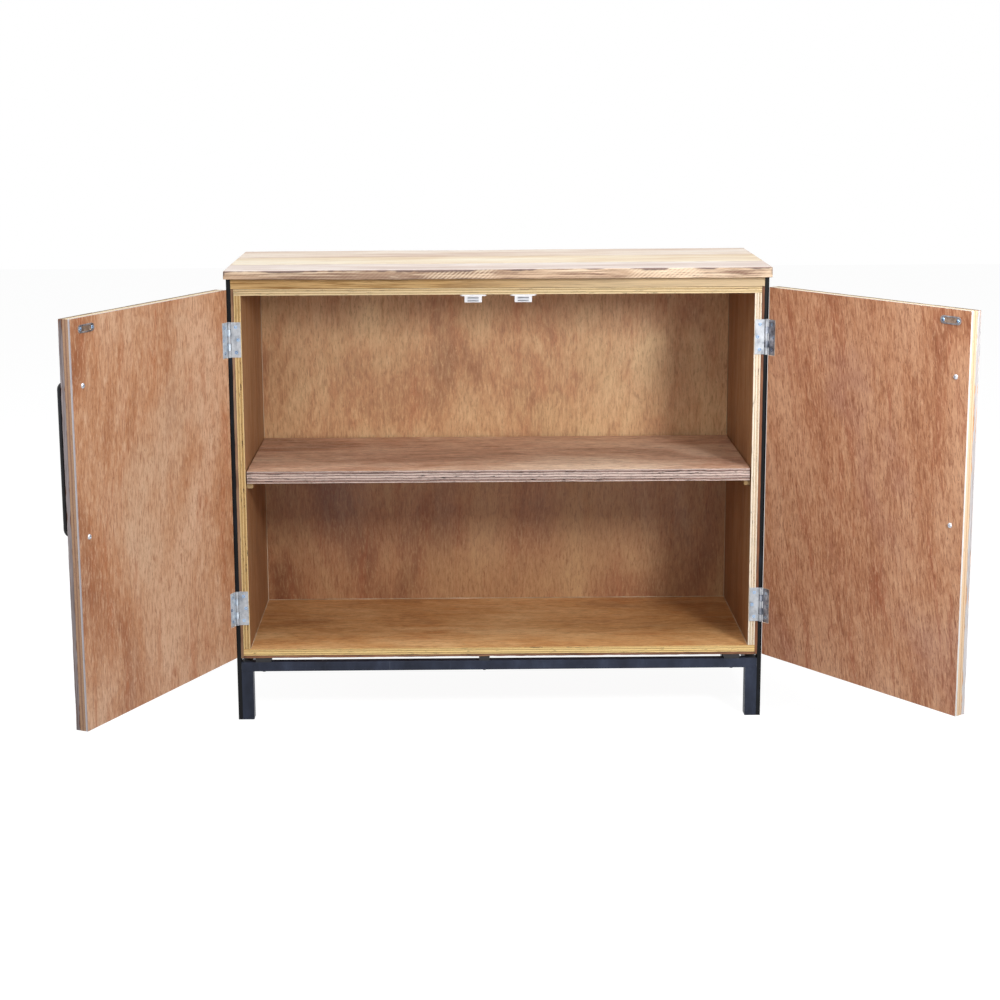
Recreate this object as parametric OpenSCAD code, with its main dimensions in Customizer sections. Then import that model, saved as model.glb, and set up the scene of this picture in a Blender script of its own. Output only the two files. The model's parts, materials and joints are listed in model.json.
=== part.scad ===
// Two-door sideboard: iron frame, double-skinned plywood box, plank top.
// Units are millimetres. +Z is up, the doors are on the -Y side, +X is to the
// right of someone facing the doors. The origin is at floor level in the
// middle of the frame's footprint. Both doors are drawn standing open.

/* [Overall] */
// Width of the wooden top
top_w = 1000; // [960:10:1060]
// Height of the top surface above the floor
total_h = 857; // [830:1:900]
// Depth of the iron frame, front plane to back plane
frame_d = 384; // [370:1:400]

/* [Top] */
// Thickness of the top boards
top_t = 17; // [15:1:22]
// Overhang of the top in front of the frame
top_front = 26; // [10:1:34]
// Overhang of the top past each post
top_side = 2; // [0:1:8]
// Width of the front board of the top
front_board_w = 122; // [100:1:140]
// Joint gap between neighbouring boards
board_gap = 0.5; // [0.3:0.1:1]

/* [Iron frame] */
// Width of a post seen from the front
post_t = 8; // [6:1:10]
// Depth of a post and of a leg
post_d = 25; // [20:1:30]
// Width of the leg tube beside the post
leg_w = 22; // [18:1:26]
// Height of the leg tube, floor to rail
leg_h = 95; // [80:1:105]
// Wall of the square tubes
tube_wall = 1.5; // [1.2:0.1:2]
// Height of the bottom rails
rail_h = 17.5; // [15:0.5:20]
// Depth of the bottom rails
rail_d = 20; // [16:1:24]
// Height of the spacer tabs under the box
tab_h = 8.5; // [5:0.5:10]

/* [Box] */
// Thickness of the side and floor panels
ply_t = 13; // [12:1:14]
// Thickness of the ceiling panel
ceiling_t = 12; // [10:1:14]
// Thickness of the outer cladding
clad_t = 5; // [4:0.5:7]
// Thickness of the back panel
back_t = 6; // [4:1:8]
// Height of the batten frame under the top
batten_h = 19; // [15:1:24]
// Depth of the front and back battens
batten_d = 42; // [30:1:60]

/* [Shelf] */
// Height of the shelf's upper face
shelf_z = 480; // [420:1:540]
// Thickness of the shelf
shelf_t = 23; // [18:1:26]
// Setback of the shelf's front edge
shelf_back_off = 6; // [2:1:20]
// Height of a shelf cleat
cleat_h = 10; // [8:1:16]
// Width of a shelf cleat
cleat_w = 12; // [8:1:16]

/* [Doors] */
// Opening angle of the left door as drawn
open_left = 114.7; // [0:0.1:170]
// Opening angle of the right door as drawn
open_right = 124.5; // [0:0.1:170]
// Thickness of the inner plywood skin
skin_t = 4; // [3.5:0.5:5]
// Thickness of the core
core_t = 11; // [10:0.5:14]
// Thickness of the thickest facing plank
facing_t = 8.4; // [7:0.1:10]
// Gap between the two closed doors
door_gap = 3; // [2:0.5:5]
// Height of a door
door_h = 697; // [640:1:699]

/* [Hinges] */
// Height of a hinge
hinge_h = 65; // [50:1:76]
// Width of a leaf from the pin's centre
leaf_w = 21; // [19:1:22]
// Thickness of a leaf
leaf_t = 1.2; // [1:0.1:1.4]
// Outer radius of a knuckle
knuckle_r = 2.9; // [2.6:0.1:3]
// Radius of the hinge pin
pin_r = 1.5; // [1.2:0.1:1.7]
// Height of the lower hinges' centres
hinge_low_z = 219; // [180:1:260]
// Height of the upper hinges' centres
hinge_high_z = 728; // [690:1:750]

/* [Handles and catches] */
// Distance between the two feet of a handle
handle_pitch = 254; // [160:1:300]
// Height of the middle of a handle
handle_z = 581; // [540:1:620]
// Radius of the handle bar
handle_r = 4.5; // [4:0.1:6]
// Reach of a handle in front of the door
handle_reach = 27; // [24:1:40]
// Distance of a handle from the door's free edge
handle_edge = 29; // [25:1:60]
// Distance of each catch from the middle
catch_x = 46; // [35:1:80]

/* [Hidden] */
$fn = 48;

yf = -frame_d / 2;                     // front plane of the frame and the box
fx = top_w / 2 - top_side;             // outer face of a post
cx = fx - post_t;                      // outer face of the box
px = cx - clad_t;                      // outer face of the plywood
ix = px - ply_t;                       // inner face of the plywood
rail_z = leg_h + rail_h;               // top of the rails
box_z = rail_z + tab_h;                // underside of the box
floor_z = box_z + clad_t + ply_t;      // inner floor
top_z = total_h - top_t;               // underside of the top boards
box_top = top_z - batten_h;            // top of the box
ceil_z = box_top - ceiling_t;          // inner ceiling
box_d = frame_d - 2;                   // depth of the box with its back
inner_d = box_d - back_t;              // inner depth
top_y0 = yf - top_front;
top_d = frame_d + top_front;

// Hinge line, measured from the front plane, and the door seen from it.
pin_off = leaf_t + knuckle_r - 0.8;    // pin centre in front of the box
axis_x = fx - 3.8;
face_in = 1.3;                         // door's inner face in front of the pin
edge0 = 4;                             // door's hinge edge beside the pin
edge1 = axis_x - door_gap / 2;         // door's free edge
door_t = skin_t + core_t + facing_t;
door_z0 = box_top - 0.5 - door_h;
door_w = edge1 - edge0;
handle_u = edge1 - handle_edge;
catch_z = ceil_z - 7.5;
strike_u = axis_x - catch_x;

// Screw places on one hinge leaf: [distance from pin, height from centre]
leaf_holes = [[12, -0.36 * hinge_h], [16, 0], [12, 0.36 * hinge_h]];
hinge_zs = [hinge_low_z, hinge_high_z];
handle_zs = [handle_z - handle_pitch / 2, handle_z + handle_pitch / 2];
plank_f = [0, 0.19, 0.405, 0.6, 0.8, 1];
plank_t = [0, -0.9, -0.3, -1.2, 0];
tab_x = [[-463, -433], [-39, -19], [427, 457]];
post_screw_z = [300, 470, 640];
cleat_y = [40, 180, 320];
top_screw_x = [-380, 0, 380];

// ---------- helpers ----------
module at_front() { translate([0, yf, 0]) children(); }
// side is -1 on the left and +1 on the right
module on_hinge(side, angle = 0) {
  translate([side * axis_x, yf - pin_off, 0])
    mirror([side > 0 ? 1 : 0, 0, 0])
      rotate([0, 0, -angle]) children();
}
module on_door(side) { on_hinge(side, side < 0 ? open_left : open_right) children(); }
module box(x0, x1, y0, y1, z0, z1) { translate([x0, y0, z0]) cube([x1 - x0, y1 - y0, z1 - z0]); }
module sided(side) { mirror([side < 0 ? 1 : 0, 0, 0]) children(); }
// A tube along z, open at both ends
module tube_z(x0, x1, y0, y1, z0, z1) {
  difference() {
    box(x0, x1, y0, y1, z0, z1);
    box(x0 + tube_wall, x1 - tube_wall, y0 + tube_wall, y1 - tube_wall, z0 - 1, z1 + 1);
  }
}
// Countersunk wood screw pointing along +Y, its head's face at y = 0
module wood_screw_y(len, r = 1.5, head = 3) {
  rotate([-90, 0, 0]) {
    cylinder(h = 1.2, r1 = head, r2 = r);
    translate([0, 0, 1.1]) cylinder(h = len - 1.1, r = r);
  }
}
module screw_hole_y(len, r = 1.55) { rotate([-90, 0, 0]) cylinder(h = len, r = r); }
module countersink_y(head = 3, r = 1.5) {
  translate([0, -0.01, 0]) rotate([-90, 0, 0]) cylinder(h = 1.31, r1 = head + 0.08, r2 = r + 0.08);
}
// Pan-head screw pointing along +Z, head below z = 0
module pan_screw_z(len, r = 2, head = 4, hh = 2) {
  translate([0, 0, -hh]) cylinder(h = hh, r = head);
  translate([0, 0, -0.1]) cylinder(h = len + 0.1, r = r);
}

// ---------- iron frame ----------
module post(sx, back) {
  y0 = back ? frame_d - post_d : 0;
  color("#1b1c20") at_front() sided(sx) difference() {
    box(cx, fx, y0, y0 + post_d, 0, top_z);
    for (z = post_screw_z) translate([fx + 1, y0 + post_d / 2, z]) rotate([0, -90, 0]) cylinder(h = post_t + 2, r = 2.1);
    for (z = post_screw_z) translate([fx + 0.01, y0 + post_d / 2, z]) rotate([0, -90, 0]) cylinder(h = 2.2, r1 = 4.1, r2 = 2.05);
  }
}
module leg(sx, back) {
  y0 = back ? frame_d - post_d : 0;
  color("#31363f") at_front() sided(sx) tube_z(cx - leg_w, cx, y0, y0 + post_d, 0, leg_h);
}
module leg_plugs() {
  w = tube_wall;
  color("#15161a") at_front() for (sx = [-1, 1], y0 = [0, frame_d - post_d]) sided(sx) {
    box(cx - leg_w + w, cx - w, y0 + w, y0 + post_d - w, 0, 10);
  }
}
module rail_across(back) {
  y0 = back ? frame_d - rail_d : 0;
  w = tube_wall;
  color("#31363f") at_front() difference() {
    box(-cx, cx, y0, y0 + rail_d, leg_h, rail_z);
    box(-cx - 1, cx + 1, y0 + w, y0 + rail_d - w, leg_h + w, rail_z - w);
    for (t = tab_x) translate([(t[0] + t[1]) / 2, y0 + rail_d / 2, leg_h - 1]) cylinder(h = rail_h + 2, r = 2.1);
  }
}
module rail_side(sx) {
  w = tube_wall;
  color("#31363f") at_front() sided(sx) difference() {
    box(cx - rail_d, cx, rail_d, frame_d - rail_d, leg_h, rail_z);
    box(cx - rail_d + w, cx - w, rail_d - 1, frame_d - rail_d + 1, leg_h + w, rail_z - w);
  }
}
module spacer_tabs() {
  color("#26282e") at_front() for (y0 = [0, frame_d - rail_d], t = tab_x) difference() {
    box(t[0], t[1], y0 + 1, y0 + rail_d - 1, rail_z, box_z);
    translate([(t[0] + t[1]) / 2, y0 + rail_d / 2, rail_z - 1]) cylinder(h = tab_h + 2, r = 2.1);
  }
}
module frame_screws() {
  color("#3a3d44") at_front() for (y0 = [0, frame_d - rail_d], t = tab_x)
    translate([(t[0] + t[1]) / 2, y0 + rail_d / 2, leg_h]) pan_screw_z(rail_h + tab_h + clad_t + 10);
}
module post_screws() {
  color("#2b2d33") at_front() for (sx = [-1, 1], y0 = [0, frame_d - post_d], z = post_screw_z)
    sided(sx) translate([fx, y0 + post_d / 2, z]) rotate([0, -90, 0]) {
      cylinder(h = 2.1, r1 = 4, r2 = 2);
      translate([0, 0, 2]) cylinder(h = post_t + clad_t + 8, r = 2);
    }
}

// ---------- box ----------
module tab_bores(depth) {
  for (y0 = [0, frame_d - rail_d], t = tab_x)
    translate([(t[0] + t[1]) / 2, y0 + rail_d / 2, box_z - 1]) cylinder(h = depth + 1, r = 2.05);
}
module top_bores(z0, z1, r = 2.05) {
  for (x = top_screw_x, y = [batten_d / 2, inner_d - batten_d / 2]) translate([x, y, z0]) cylinder(h = z1 - z0, r = r);
}
module floor_panel() {
  color("#b98a58") at_front() difference() {
    box(-px, px, 0, inner_d, box_z + clad_t, floor_z);
    tab_bores(clad_t + 10.2);
    nail_bores();
  }
}
module bottom_cladding() {
  color("#a4774f") at_front() difference() {
    box(-px, px, 0, inner_d, box_z, box_z + clad_t);
    tab_bores(clad_t + 1);
  }
}
module ceiling_panel() {
  color("#c8a66c") at_front() difference() {
    box(-px, px, 0, inner_d, ceil_z, box_top);
    top_bores(ceil_z - 1, box_top + 1);
    for (x = top_screw_x, y = [batten_d / 2, inner_d - batten_d / 2]) translate([x, y, ceil_z - 0.01]) cylinder(h = 2.2, r1 = 4.1, r2 = 2.05);
    for (s = [-1, 1], e = [-1, 1]) translate([s * catch_x + e * 20, 7, ceil_z - 1]) cylinder(h = 9.2, r = 1.55);
    nail_bores();
  }
}
module side_panel(sx) {
  color("#8a5e3a") at_front() difference() {
    sided(sx) box(ix, px, 0, inner_d, floor_z, ceil_z);
    for (z = hinge_zs, h = leaf_holes) translate([sx * (axis_x - h[0]), -1, z + h[1]]) screw_hole_y(15);
    for (y0 = [0, frame_d - post_d], z = post_screw_z) sided(sx) translate([px + 1, y0 + post_d / 2, z]) rotate([0, -90, 0]) cylinder(h = 11.5, r = 2.05);
    for (y = cleat_y) sided(sx) translate([ix - 1, y, shelf_z - shelf_t - cleat_h / 2]) rotate([0, 90, 0]) cylinder(h = 9.5, r = 1.55);
    nail_bores();
  }
}
module side_cladding(sx) {
  n = 4;
  w = (box_d + board_gap) / n;
  color("#96714f") at_front() difference() {
    sided(sx) for (i = [0:n - 1]) box(px, cx - (i % 2) * 0.6, i * w, (i + 1) * w - board_gap, box_z, box_top);
    for (y0 = [0, frame_d - post_d], z = post_screw_z) sided(sx) translate([cx + 1, y0 + post_d / 2, z]) rotate([0, -90, 0]) cylinder(h = clad_t + 2, r = 2.05);
  }
}
nail_x = [-420, -210, 0, 210, 420];
nail_z = [200, 360, 520, 680];
module nail_bores() {
  for (x = nail_x, z = [box_z + clad_t + ply_t / 2, box_top - ceiling_t / 2]) translate([x, inner_d - 12.2, z]) rotate([-90, 0, 0]) cylinder(h = 13, r = 1.05);
  for (sx = [-1, 1], z = nail_z) translate([sx * (px - ply_t / 2), inner_d - 12.2, z]) rotate([-90, 0, 0]) cylinder(h = 13, r = 1.05);
}
module back_panel() {
  color("#a8704a") at_front() difference() {
    box(-px, px, inner_d, box_d, box_z, box_top);
    for (x = nail_x, z = [box_z + clad_t + ply_t / 2, box_top - ceiling_t / 2]) translate([x, inner_d - 1, z]) rotate([-90, 0, 0]) cylinder(h = back_t + 2, r = 1.05);
    for (sx = [-1, 1], z = nail_z) translate([sx * (px - ply_t / 2), inner_d - 1, z]) rotate([-90, 0, 0]) cylinder(h = back_t + 2, r = 1.05);
  }
}
module nail() { rotate([90, 0, 0]) { translate([0, 0, -0.8]) cylinder(h = 0.8, r = 2.2); translate([0, 0, -0.1]) cylinder(h = back_t + 12.1, r = 1); } }
module back_panel_nails() {
  color("#8d9096") at_front() {
    for (x = nail_x, z = [box_z + clad_t + ply_t / 2, box_top - ceiling_t / 2]) translate([x, box_d, z]) nail();
    for (sx = [-1, 1], z = nail_z) translate([sx * (px - ply_t / 2), box_d, z]) nail();
  }
}

// ---------- battens and top ----------
module batten_across(back) {
  y0 = back ? inner_d - batten_d : 0;
  color("#c4a573") at_front() difference() {
    box(-cx, cx, y0, y0 + batten_d, box_top, top_z);
    top_bores(box_top - 1, top_z + 1);
  }
}
module battens_end() {
  color("#c4a573") at_front() for (sx = [-1, 1]) sided(sx) box(cx - 40, cx, batten_d, inner_d - batten_d, box_top, top_z);
}
mid_w = (top_d - front_board_w - 2 * board_gap) / 2;
module top_board(i) {
  y0 = i == 0 ? top_y0 : top_y0 + front_board_w + board_gap + (i - 1) * (mid_w + board_gap);
  w = i == 0 ? front_board_w : mid_w;
  color(["#d9bf9f", "#e2cbb0", "#dcc4a6"][i]) difference() {
    box(-top_w / 2, top_w / 2, y0, y0 + w, top_z, total_h);
    at_front() top_bores(top_z - 1, top_z + 10.2);
  }
}
module top_screws() {
  color("#b9bcc2") at_front() for (x = top_screw_x, y = [batten_d / 2, inner_d - batten_d / 2]) translate([x, y, ceil_z]) {
    cylinder(h = 2.1, r1 = 4, r2 = 2);
    translate([0, 0, 2]) cylinder(h = ceiling_t + batten_h + 8, r = 2);
  }
}

// ---------- shelf ----------
module shelf() {
  color("#d7b48c") at_front() box(-ix + 1.5, ix - 1.5, shelf_back_off, inner_d - 8, shelf_z - shelf_t, shelf_z);
}
module shelf_cleat(sx) {
  zc = shelf_z - shelf_t;
  color("#d8c096") at_front() difference() {
    sided(sx) box(ix - cleat_w, ix, shelf_back_off + 6, inner_d - 20, zc - cleat_h, zc);
    for (y = cleat_y) sided(sx) translate([ix - cleat_w - 1, y, zc - cleat_h / 2]) rotate([0, 90, 0]) cylinder(h = cleat_w + 2, r = 1.55);
    for (y = cleat_y) sided(sx) translate([ix - cleat_w - 0.01, y, zc - cleat_h / 2]) rotate([0, 90, 0]) cylinder(h = 1.6, r1 = 3.1, r2 = 1.55);
  }
}
module cleat_screws() {
  zc = shelf_z - shelf_t;
  color("#b9bcc2") at_front() for (sx = [-1, 1], y = cleat_y) sided(sx)
    translate([ix - cleat_w, y, zc - cleat_h / 2]) rotate([0, 90, 0]) {
      cylinder(h = 1.5, r1 = 3, r2 = 1.5);
      translate([0, 0, 1.4]) cylinder(h = cleat_w + 6.6, r = 1.5);
    }
}

// ---------- magnetic catches ----------
module catch_bodies() {
  color("#f2f3f4") at_front() for (s = [-1, 1]) translate([s * catch_x, 0, catch_z]) difference() {
    union() {
      box(-24, 24, 0, 14, 4.5, 7.5);
      box(-16, 16, -1, 15, -7, 5);
    }
    box(-10, 10, -2, 10, -4.5, 2.5);
    for (e = [-1, 1]) translate([e * 20, 7, 0]) cylinder(h = 9, r = 1.6);
    for (e = [-1, 1]) translate([e * 20, 7, 4.49]) cylinder(h = 1.4, r1 = 3.1, r2 = 1.6);
  }
}
module catch_plates() {
  color("#5b5e64") at_front() for (s = [-1, 1]) translate([s * catch_x, 0, catch_z]) {
    box(-10, 10, -3.2 , 10, -4.5, -3);
    box(-10, 10, -3.2 , 10, 1, 2.5);
  }
}
module catch_magnets() {
  color("#2e3034") at_front() for (s = [-1, 1]) translate([s * catch_x, 0, catch_z]) box(-10, 10, -1.5, 10, -3, 1);
}
module catch_screws() {
  color("#b9bcc2") at_front() for (s = [-1, 1], e = [-1, 1]) translate([s * catch_x + e * 20, 7, catch_z + 4.5]) {
    cylinder(h = 1.3, r1 = 3, r2 = 1.5);
    translate([0, 0, 1.2]) cylinder(h = 9.8, r = 1.5);
  }
}

// ---------- hinges ----------
// One leaf, its pin at the origin. frame: leaf lies on +Y, door: on -Y.
module hinge_leaf(door) {
  k = hinge_h / 5;
  own = door ? [1, 3] : [0, 2, 4];
  other = door ? [0, 2, 4] : [1, 3];
  g = 0.15;
  sy = door ? -1 : 1;
  difference() {
    union() {
      difference() {
        translate([0, door ? -pin_off : pin_off - leaf_t, -hinge_h / 2]) cube([leaf_w, leaf_t, hinge_h]);
        for (i = other) translate([-5, -5, -hinge_h / 2 + i * k - g]) cube([5 + knuckle_r + 0.4, 10, k + 2 * g]);
      }
      for (i = own) translate([0, 0, -hinge_h / 2 + i * k + (i == 0 ? 0 : g)]) cylinder(h = k - (i == 0 || i == 4 ? g : 2 * g), r = knuckle_r);
    }
    translate([0, 0, -hinge_h / 2 - 1]) cylinder(h = hinge_h + 2, r = pin_r + 0.06);
    for (h = leaf_holes) translate([h[0], sy * (pin_off - leaf_t), h[1]]) {
      if (door) mirror([0, 1, 0]) countersink_y();
      if (!door) countersink_y();
    }
  }
}
module frame_leaves(side) {
  color("#c9ccd2") for (z = hinge_zs) on_hinge(side) translate([0, 0, z]) hinge_leaf(false);
}
module door_leaves(side) {
  color("#c2c5cb") for (z = hinge_zs) on_door(side) translate([0, 0, z]) hinge_leaf(true);
}
module hinge_pins(side) {
  color("#aeb1b7") for (z = hinge_zs) on_hinge(side) translate([0, 0, z - hinge_h / 2]) {
    cylinder(h = hinge_h, r = pin_r);
    translate([0, 0, hinge_h]) cylinder(h = 0.8, r = 2.4);
  }
}
module frame_leaf_screws() {
  color("#dfe1e5") for (side = [-1, 1], z = hinge_zs, h = leaf_holes)
    on_hinge(side) translate([h[0], pin_off - leaf_t, z + h[1]]) wood_screw_y(14);
}

// ---------- doors (drawn in the hinge's own frame) ----------
module door_bores(y0, y1) {
  for (z = hinge_zs, h = leaf_holes) translate([h[0], -pin_off + leaf_t + 1, z + h[1]]) mirror([0, 1, 0]) screw_hole_y(13.5);
  for (e = [-1, 1]) translate([strike_u + e * 16.5, 1, catch_z]) mirror([0, 1, 0]) screw_hole_y(12.5, 1.45);
  for (z = handle_zs) translate([handle_u, 1, z]) mirror([0, 1, 0]) screw_hole_y(door_t + 4, 2.1);
}
module door_skin(side) {
  color("#c08a60") on_door(side) difference() {
    box(edge0, edge1, -face_in - skin_t, -face_in, door_z0, door_z0 + door_h);
    for (z = hinge_zs) box(edge0 - 1, leaf_w + 0.4, -pin_off, 0, z - hinge_h / 2 - 0.4, z + hinge_h / 2 + 0.4);
    door_bores();
  }
}
module door_core(side) {
  color("#c9a06a") on_door(side) difference() {
    box(edge0, edge1, -face_in - skin_t - core_t, -face_in - skin_t, door_z0, door_z0 + door_h);
    door_bores();
  }
}
module door_facing(side) {
  y1 = -face_in - skin_t - core_t;
  color("#a58a78") on_door(side) difference() {
    for (i = [0:4])
      box(edge0 + plank_f[i] * door_w + (i == 0 ? 0 : board_gap / 2), edge0 + plank_f[i + 1] * door_w - (i == 4 ? 0 : board_gap / 2),
          y1 - facing_t - plank_t[i], y1, door_z0, door_z0 + door_h);
    door_bores();
  }
}
module door_screws(side) {
  color("#dfe1e5") on_door(side) {
    for (z = hinge_zs, h = leaf_holes) translate([h[0], -pin_off + leaf_t, z + h[1]]) mirror([0, 1, 0]) wood_screw_y(12.5);
    for (e = [-1, 1]) translate([strike_u + e * 16.5, -face_in + 1.2, catch_z]) rotate([90, 0, 0]) {
      translate([0, 0, -1.1]) cylinder(h = 1.1, r = 3.1);
      translate([0, 0, -0.1]) cylinder(h = 11.1, r = 1.4);
    }
  }
}
module strike(side) {
  color("#7d8087") on_door(side) translate([strike_u, -face_in, catch_z]) rotate([-90, 0, 0]) difference() {
    union() {
      translate([-16, -7, 0]) cube([32, 14, 1.2]);
      for (e = [-1, 1]) translate([e * 16, 0, 0]) cylinder(h = 1.2, r = 7);
    }
    for (e = [-1, 1]) translate([e * 16.5, 0, -1]) cylinder(h = 4, r = 1.45);
  }
}
module handle_bar() {
  bend = 9;
  y0 = -face_in - door_t;
  yb = y0 - handle_reach + handle_r;
  difference() {
    union() {
      translate([0, yb, handle_zs[0] + bend]) cylinder(h = handle_pitch - 2 * bend, r = handle_r);
      translate([0, yb + bend, handle_zs[0] + bend]) rotate([90, 0, -90]) rotate([0, 0, -90]) rotate_extrude(angle = 90) translate([bend, 0]) circle(r = handle_r);
      translate([0, yb + bend, handle_zs[1] - bend]) rotate([90, 0, -90]) rotate_extrude(angle = 90) translate([bend, 0]) circle(r = handle_r);
      for (z = handle_zs) translate([0, yb + bend, z]) rotate([-90, 0, 0]) cylinder(h = y0 - yb - bend, r = handle_r);
    }
    for (z = handle_zs) translate([0, y0 + 1, z]) rotate([90, 0, 0]) cylinder(h = 13.5, r = 2.05);
  }
}
module handle(side) { color("#15161a") on_door(side) translate([handle_u, 0, 0]) handle_bar(); }
module handle_screws(side) {
  color("#e3e5e8") on_door(side) for (z = handle_zs) translate([handle_u, -face_in, z]) rotate([90, 0, 0]) {
    translate([0, 0, -2.4]) cylinder(h = 2.4, r = 4.6);
    translate([0, 0, -0.1]) cylinder(h = door_t + 12.1, r = 2);
  }
}

post(-1, false);  // post_front_left
post(1, false);  // post_front_right
post(-1, true);  // post_back_left
post(1, true);  // post_back_right
leg(-1, false);  // leg_front_left
leg(1, false);  // leg_front_right
leg(-1, true);  // leg_back_left
leg(1, true);  // leg_back_right
rail_across(false);  // rail_front
rail_across(true);  // rail_back
rail_side(-1);  // rail_left
rail_side(1);  // rail_right
spacer_tabs();
leg_plugs();
frame_screws();
post_screws();
floor_panel();
ceiling_panel();
side_panel(-1);  // side_panel_left
side_panel(1);  // side_panel_right
bottom_cladding();
side_cladding(-1);  // side_cladding_left
side_cladding(1);  // side_cladding_right
back_panel();
back_panel_nails();
batten_across(false);  // batten_front
batten_across(true);  // batten_back
battens_end();
top_board(0);  // top_board_front
top_board(1);  // top_board_middle
top_board(2);  // top_board_back
top_screws();
shelf();
shelf_cleat(-1);  // shelf_cleat_left
shelf_cleat(1);  // shelf_cleat_right
cleat_screws();
catch_bodies();
catch_plates();
catch_magnets();
catch_screws();
frame_leaves(-1);  // frame_leaves_left
frame_leaves(1);  // frame_leaves_right
frame_leaf_screws();
union() { hinge_pins(-1); hinge_pins(1); }
door_skin(-1);  // door_skin_left
door_core(-1);  // door_core_left
door_facing(-1);  // door_facing_left
door_leaves(-1);  // door_leaves_left
door_screws(-1);  // door_screws_left
strike(-1);  // strike_left
handle(-1);  // handle_left
handle_screws(-1);  // handle_screws_left
door_skin(1);  // door_skin_right
door_core(1);  // door_core_right
door_facing(1);  // door_facing_right
door_leaves(1);  // door_leaves_right
door_screws(1);  // door_screws_right
strike(1);  // strike_right
handle(1);  // handle_right
handle_screws(1);  // handle_screws_right
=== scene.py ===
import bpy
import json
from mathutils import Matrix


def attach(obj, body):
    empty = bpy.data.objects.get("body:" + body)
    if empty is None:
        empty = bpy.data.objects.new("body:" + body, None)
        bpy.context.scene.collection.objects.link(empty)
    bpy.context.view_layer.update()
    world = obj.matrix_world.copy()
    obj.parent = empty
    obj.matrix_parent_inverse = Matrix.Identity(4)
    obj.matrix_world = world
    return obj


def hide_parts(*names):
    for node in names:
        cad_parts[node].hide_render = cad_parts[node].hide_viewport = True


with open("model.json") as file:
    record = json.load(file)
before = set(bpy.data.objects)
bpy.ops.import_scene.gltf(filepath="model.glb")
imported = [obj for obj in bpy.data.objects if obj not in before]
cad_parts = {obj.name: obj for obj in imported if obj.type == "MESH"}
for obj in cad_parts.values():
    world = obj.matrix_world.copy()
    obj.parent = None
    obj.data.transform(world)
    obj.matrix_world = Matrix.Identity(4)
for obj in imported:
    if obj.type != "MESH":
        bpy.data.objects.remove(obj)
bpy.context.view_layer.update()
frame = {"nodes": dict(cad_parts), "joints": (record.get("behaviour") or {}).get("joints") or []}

import json
import math

import bmesh
import bpy
import numpy as np
from mathutils import Matrix, Vector, noise

scene = bpy.context.scene
scene.view_settings.view_transform = 'Standard'
scene.view_settings.look = 'None'
NODES = frame["nodes"]
MM = 0.001

# The hinge lines and door angles at rest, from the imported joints.
JOINTS = {j["name"]: j for j in frame["joints"]}
AXIS_X = 494.2
AXIS_Y = -195.3
OPEN = {-1: math.radians(-114.7), 1: math.radians(124.5)}
BODY = {-1: "left_door", 1: "right_door"}
SIDE = {-1: "left", 1: "right"}
YF = -192.0
HINGE_Z = (219.0, 728.0)
LEAF_HOLES = ((12, -23.4), (16, 0), (12, 23.4))


def door_matrix(side):
    return Matrix.Translation((side * AXIS_X * MM, AXIS_Y * MM, 0)) @ Matrix.Rotation(OPEN[side], 4, 'Z')


# ---------------------------------------------------------------- materials
def C(r, g, b):
    """An sRGB colour, 0 to 255, as linear RGBA."""
    def lin(v):
        v /= 255.0
        return v / 12.92 if v <= 0.04045 else ((v + 0.055) / 1.055) ** 2.4
    return (lin(r), lin(g), lin(b), 1.0)


# Exposure of each finish under the studio light, per channel. Where a left and a right copy of one finish get different
# factors, the difference is partly painted light and shade.
GAIN = {
    'door_veneer_left': (0.86, 0.92, 0.95),
    'door_veneer_right': (0.95, 1.00, 1.02),
    'top_board_face_front': (1.04, 1.12, 1.22),
    'top_board_face_middle': (1.04, 1.14, 1.28),
    'top_board_face_back': (1.04, 1.14, 1.28),
    'top_board_edge': (1.10, 1.22, 1.28),
    'ceiling_ply_edge': (0.94, 0.93, 0.88),
    'side_ply_edge_left': (1.10, 1.12, 1.08),
    'floor_ply_edge': (1.30, 1.30, 1.18),
    'zinc_leaf_left': (1.15, 1.22, 1.24),
    'zinc_leaf_right': (1.4, 1.45, 1.5),
    'side_ply_edge_right': (1.06, 1.14, 1.28),
    'side_veneer': (0.78, 0.85, 0.97),
    'back_veneer': (1.16, 1.34, 1.44),
    'shelf_veneer': (1.34, 1.56, 1.84),
    'floor_veneer': (1.14, 1.33, 1.50),
    'shelf_ply_edge': (1.16, 1.10, 1.06),
    'door_core_edge_left': (0.98, 0.87, 1.08),
    'door_core_edge_right': (0.88, 0.82, 0.90),
    'facing_edge_left': (0.72, 0.66, 0.68),
    'facing_edge_right': (0.84, 0.82, 0.84),
    'zinc_leaf_bright': (0.86, 0.86, 0.86),
    'cleat_softwood': (0.62, 0.60, 0.52),
}


def gain(name, *cols):
    k = GAIN.get(name, (1.0, 1.0, 1.0))
    out = [None if c is None else tuple(min(0.98, v * f) for v, f in zip(c[:3], k)) + (1.0,) for c in cols]
    return out if len(out) > 1 else out[0]


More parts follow.
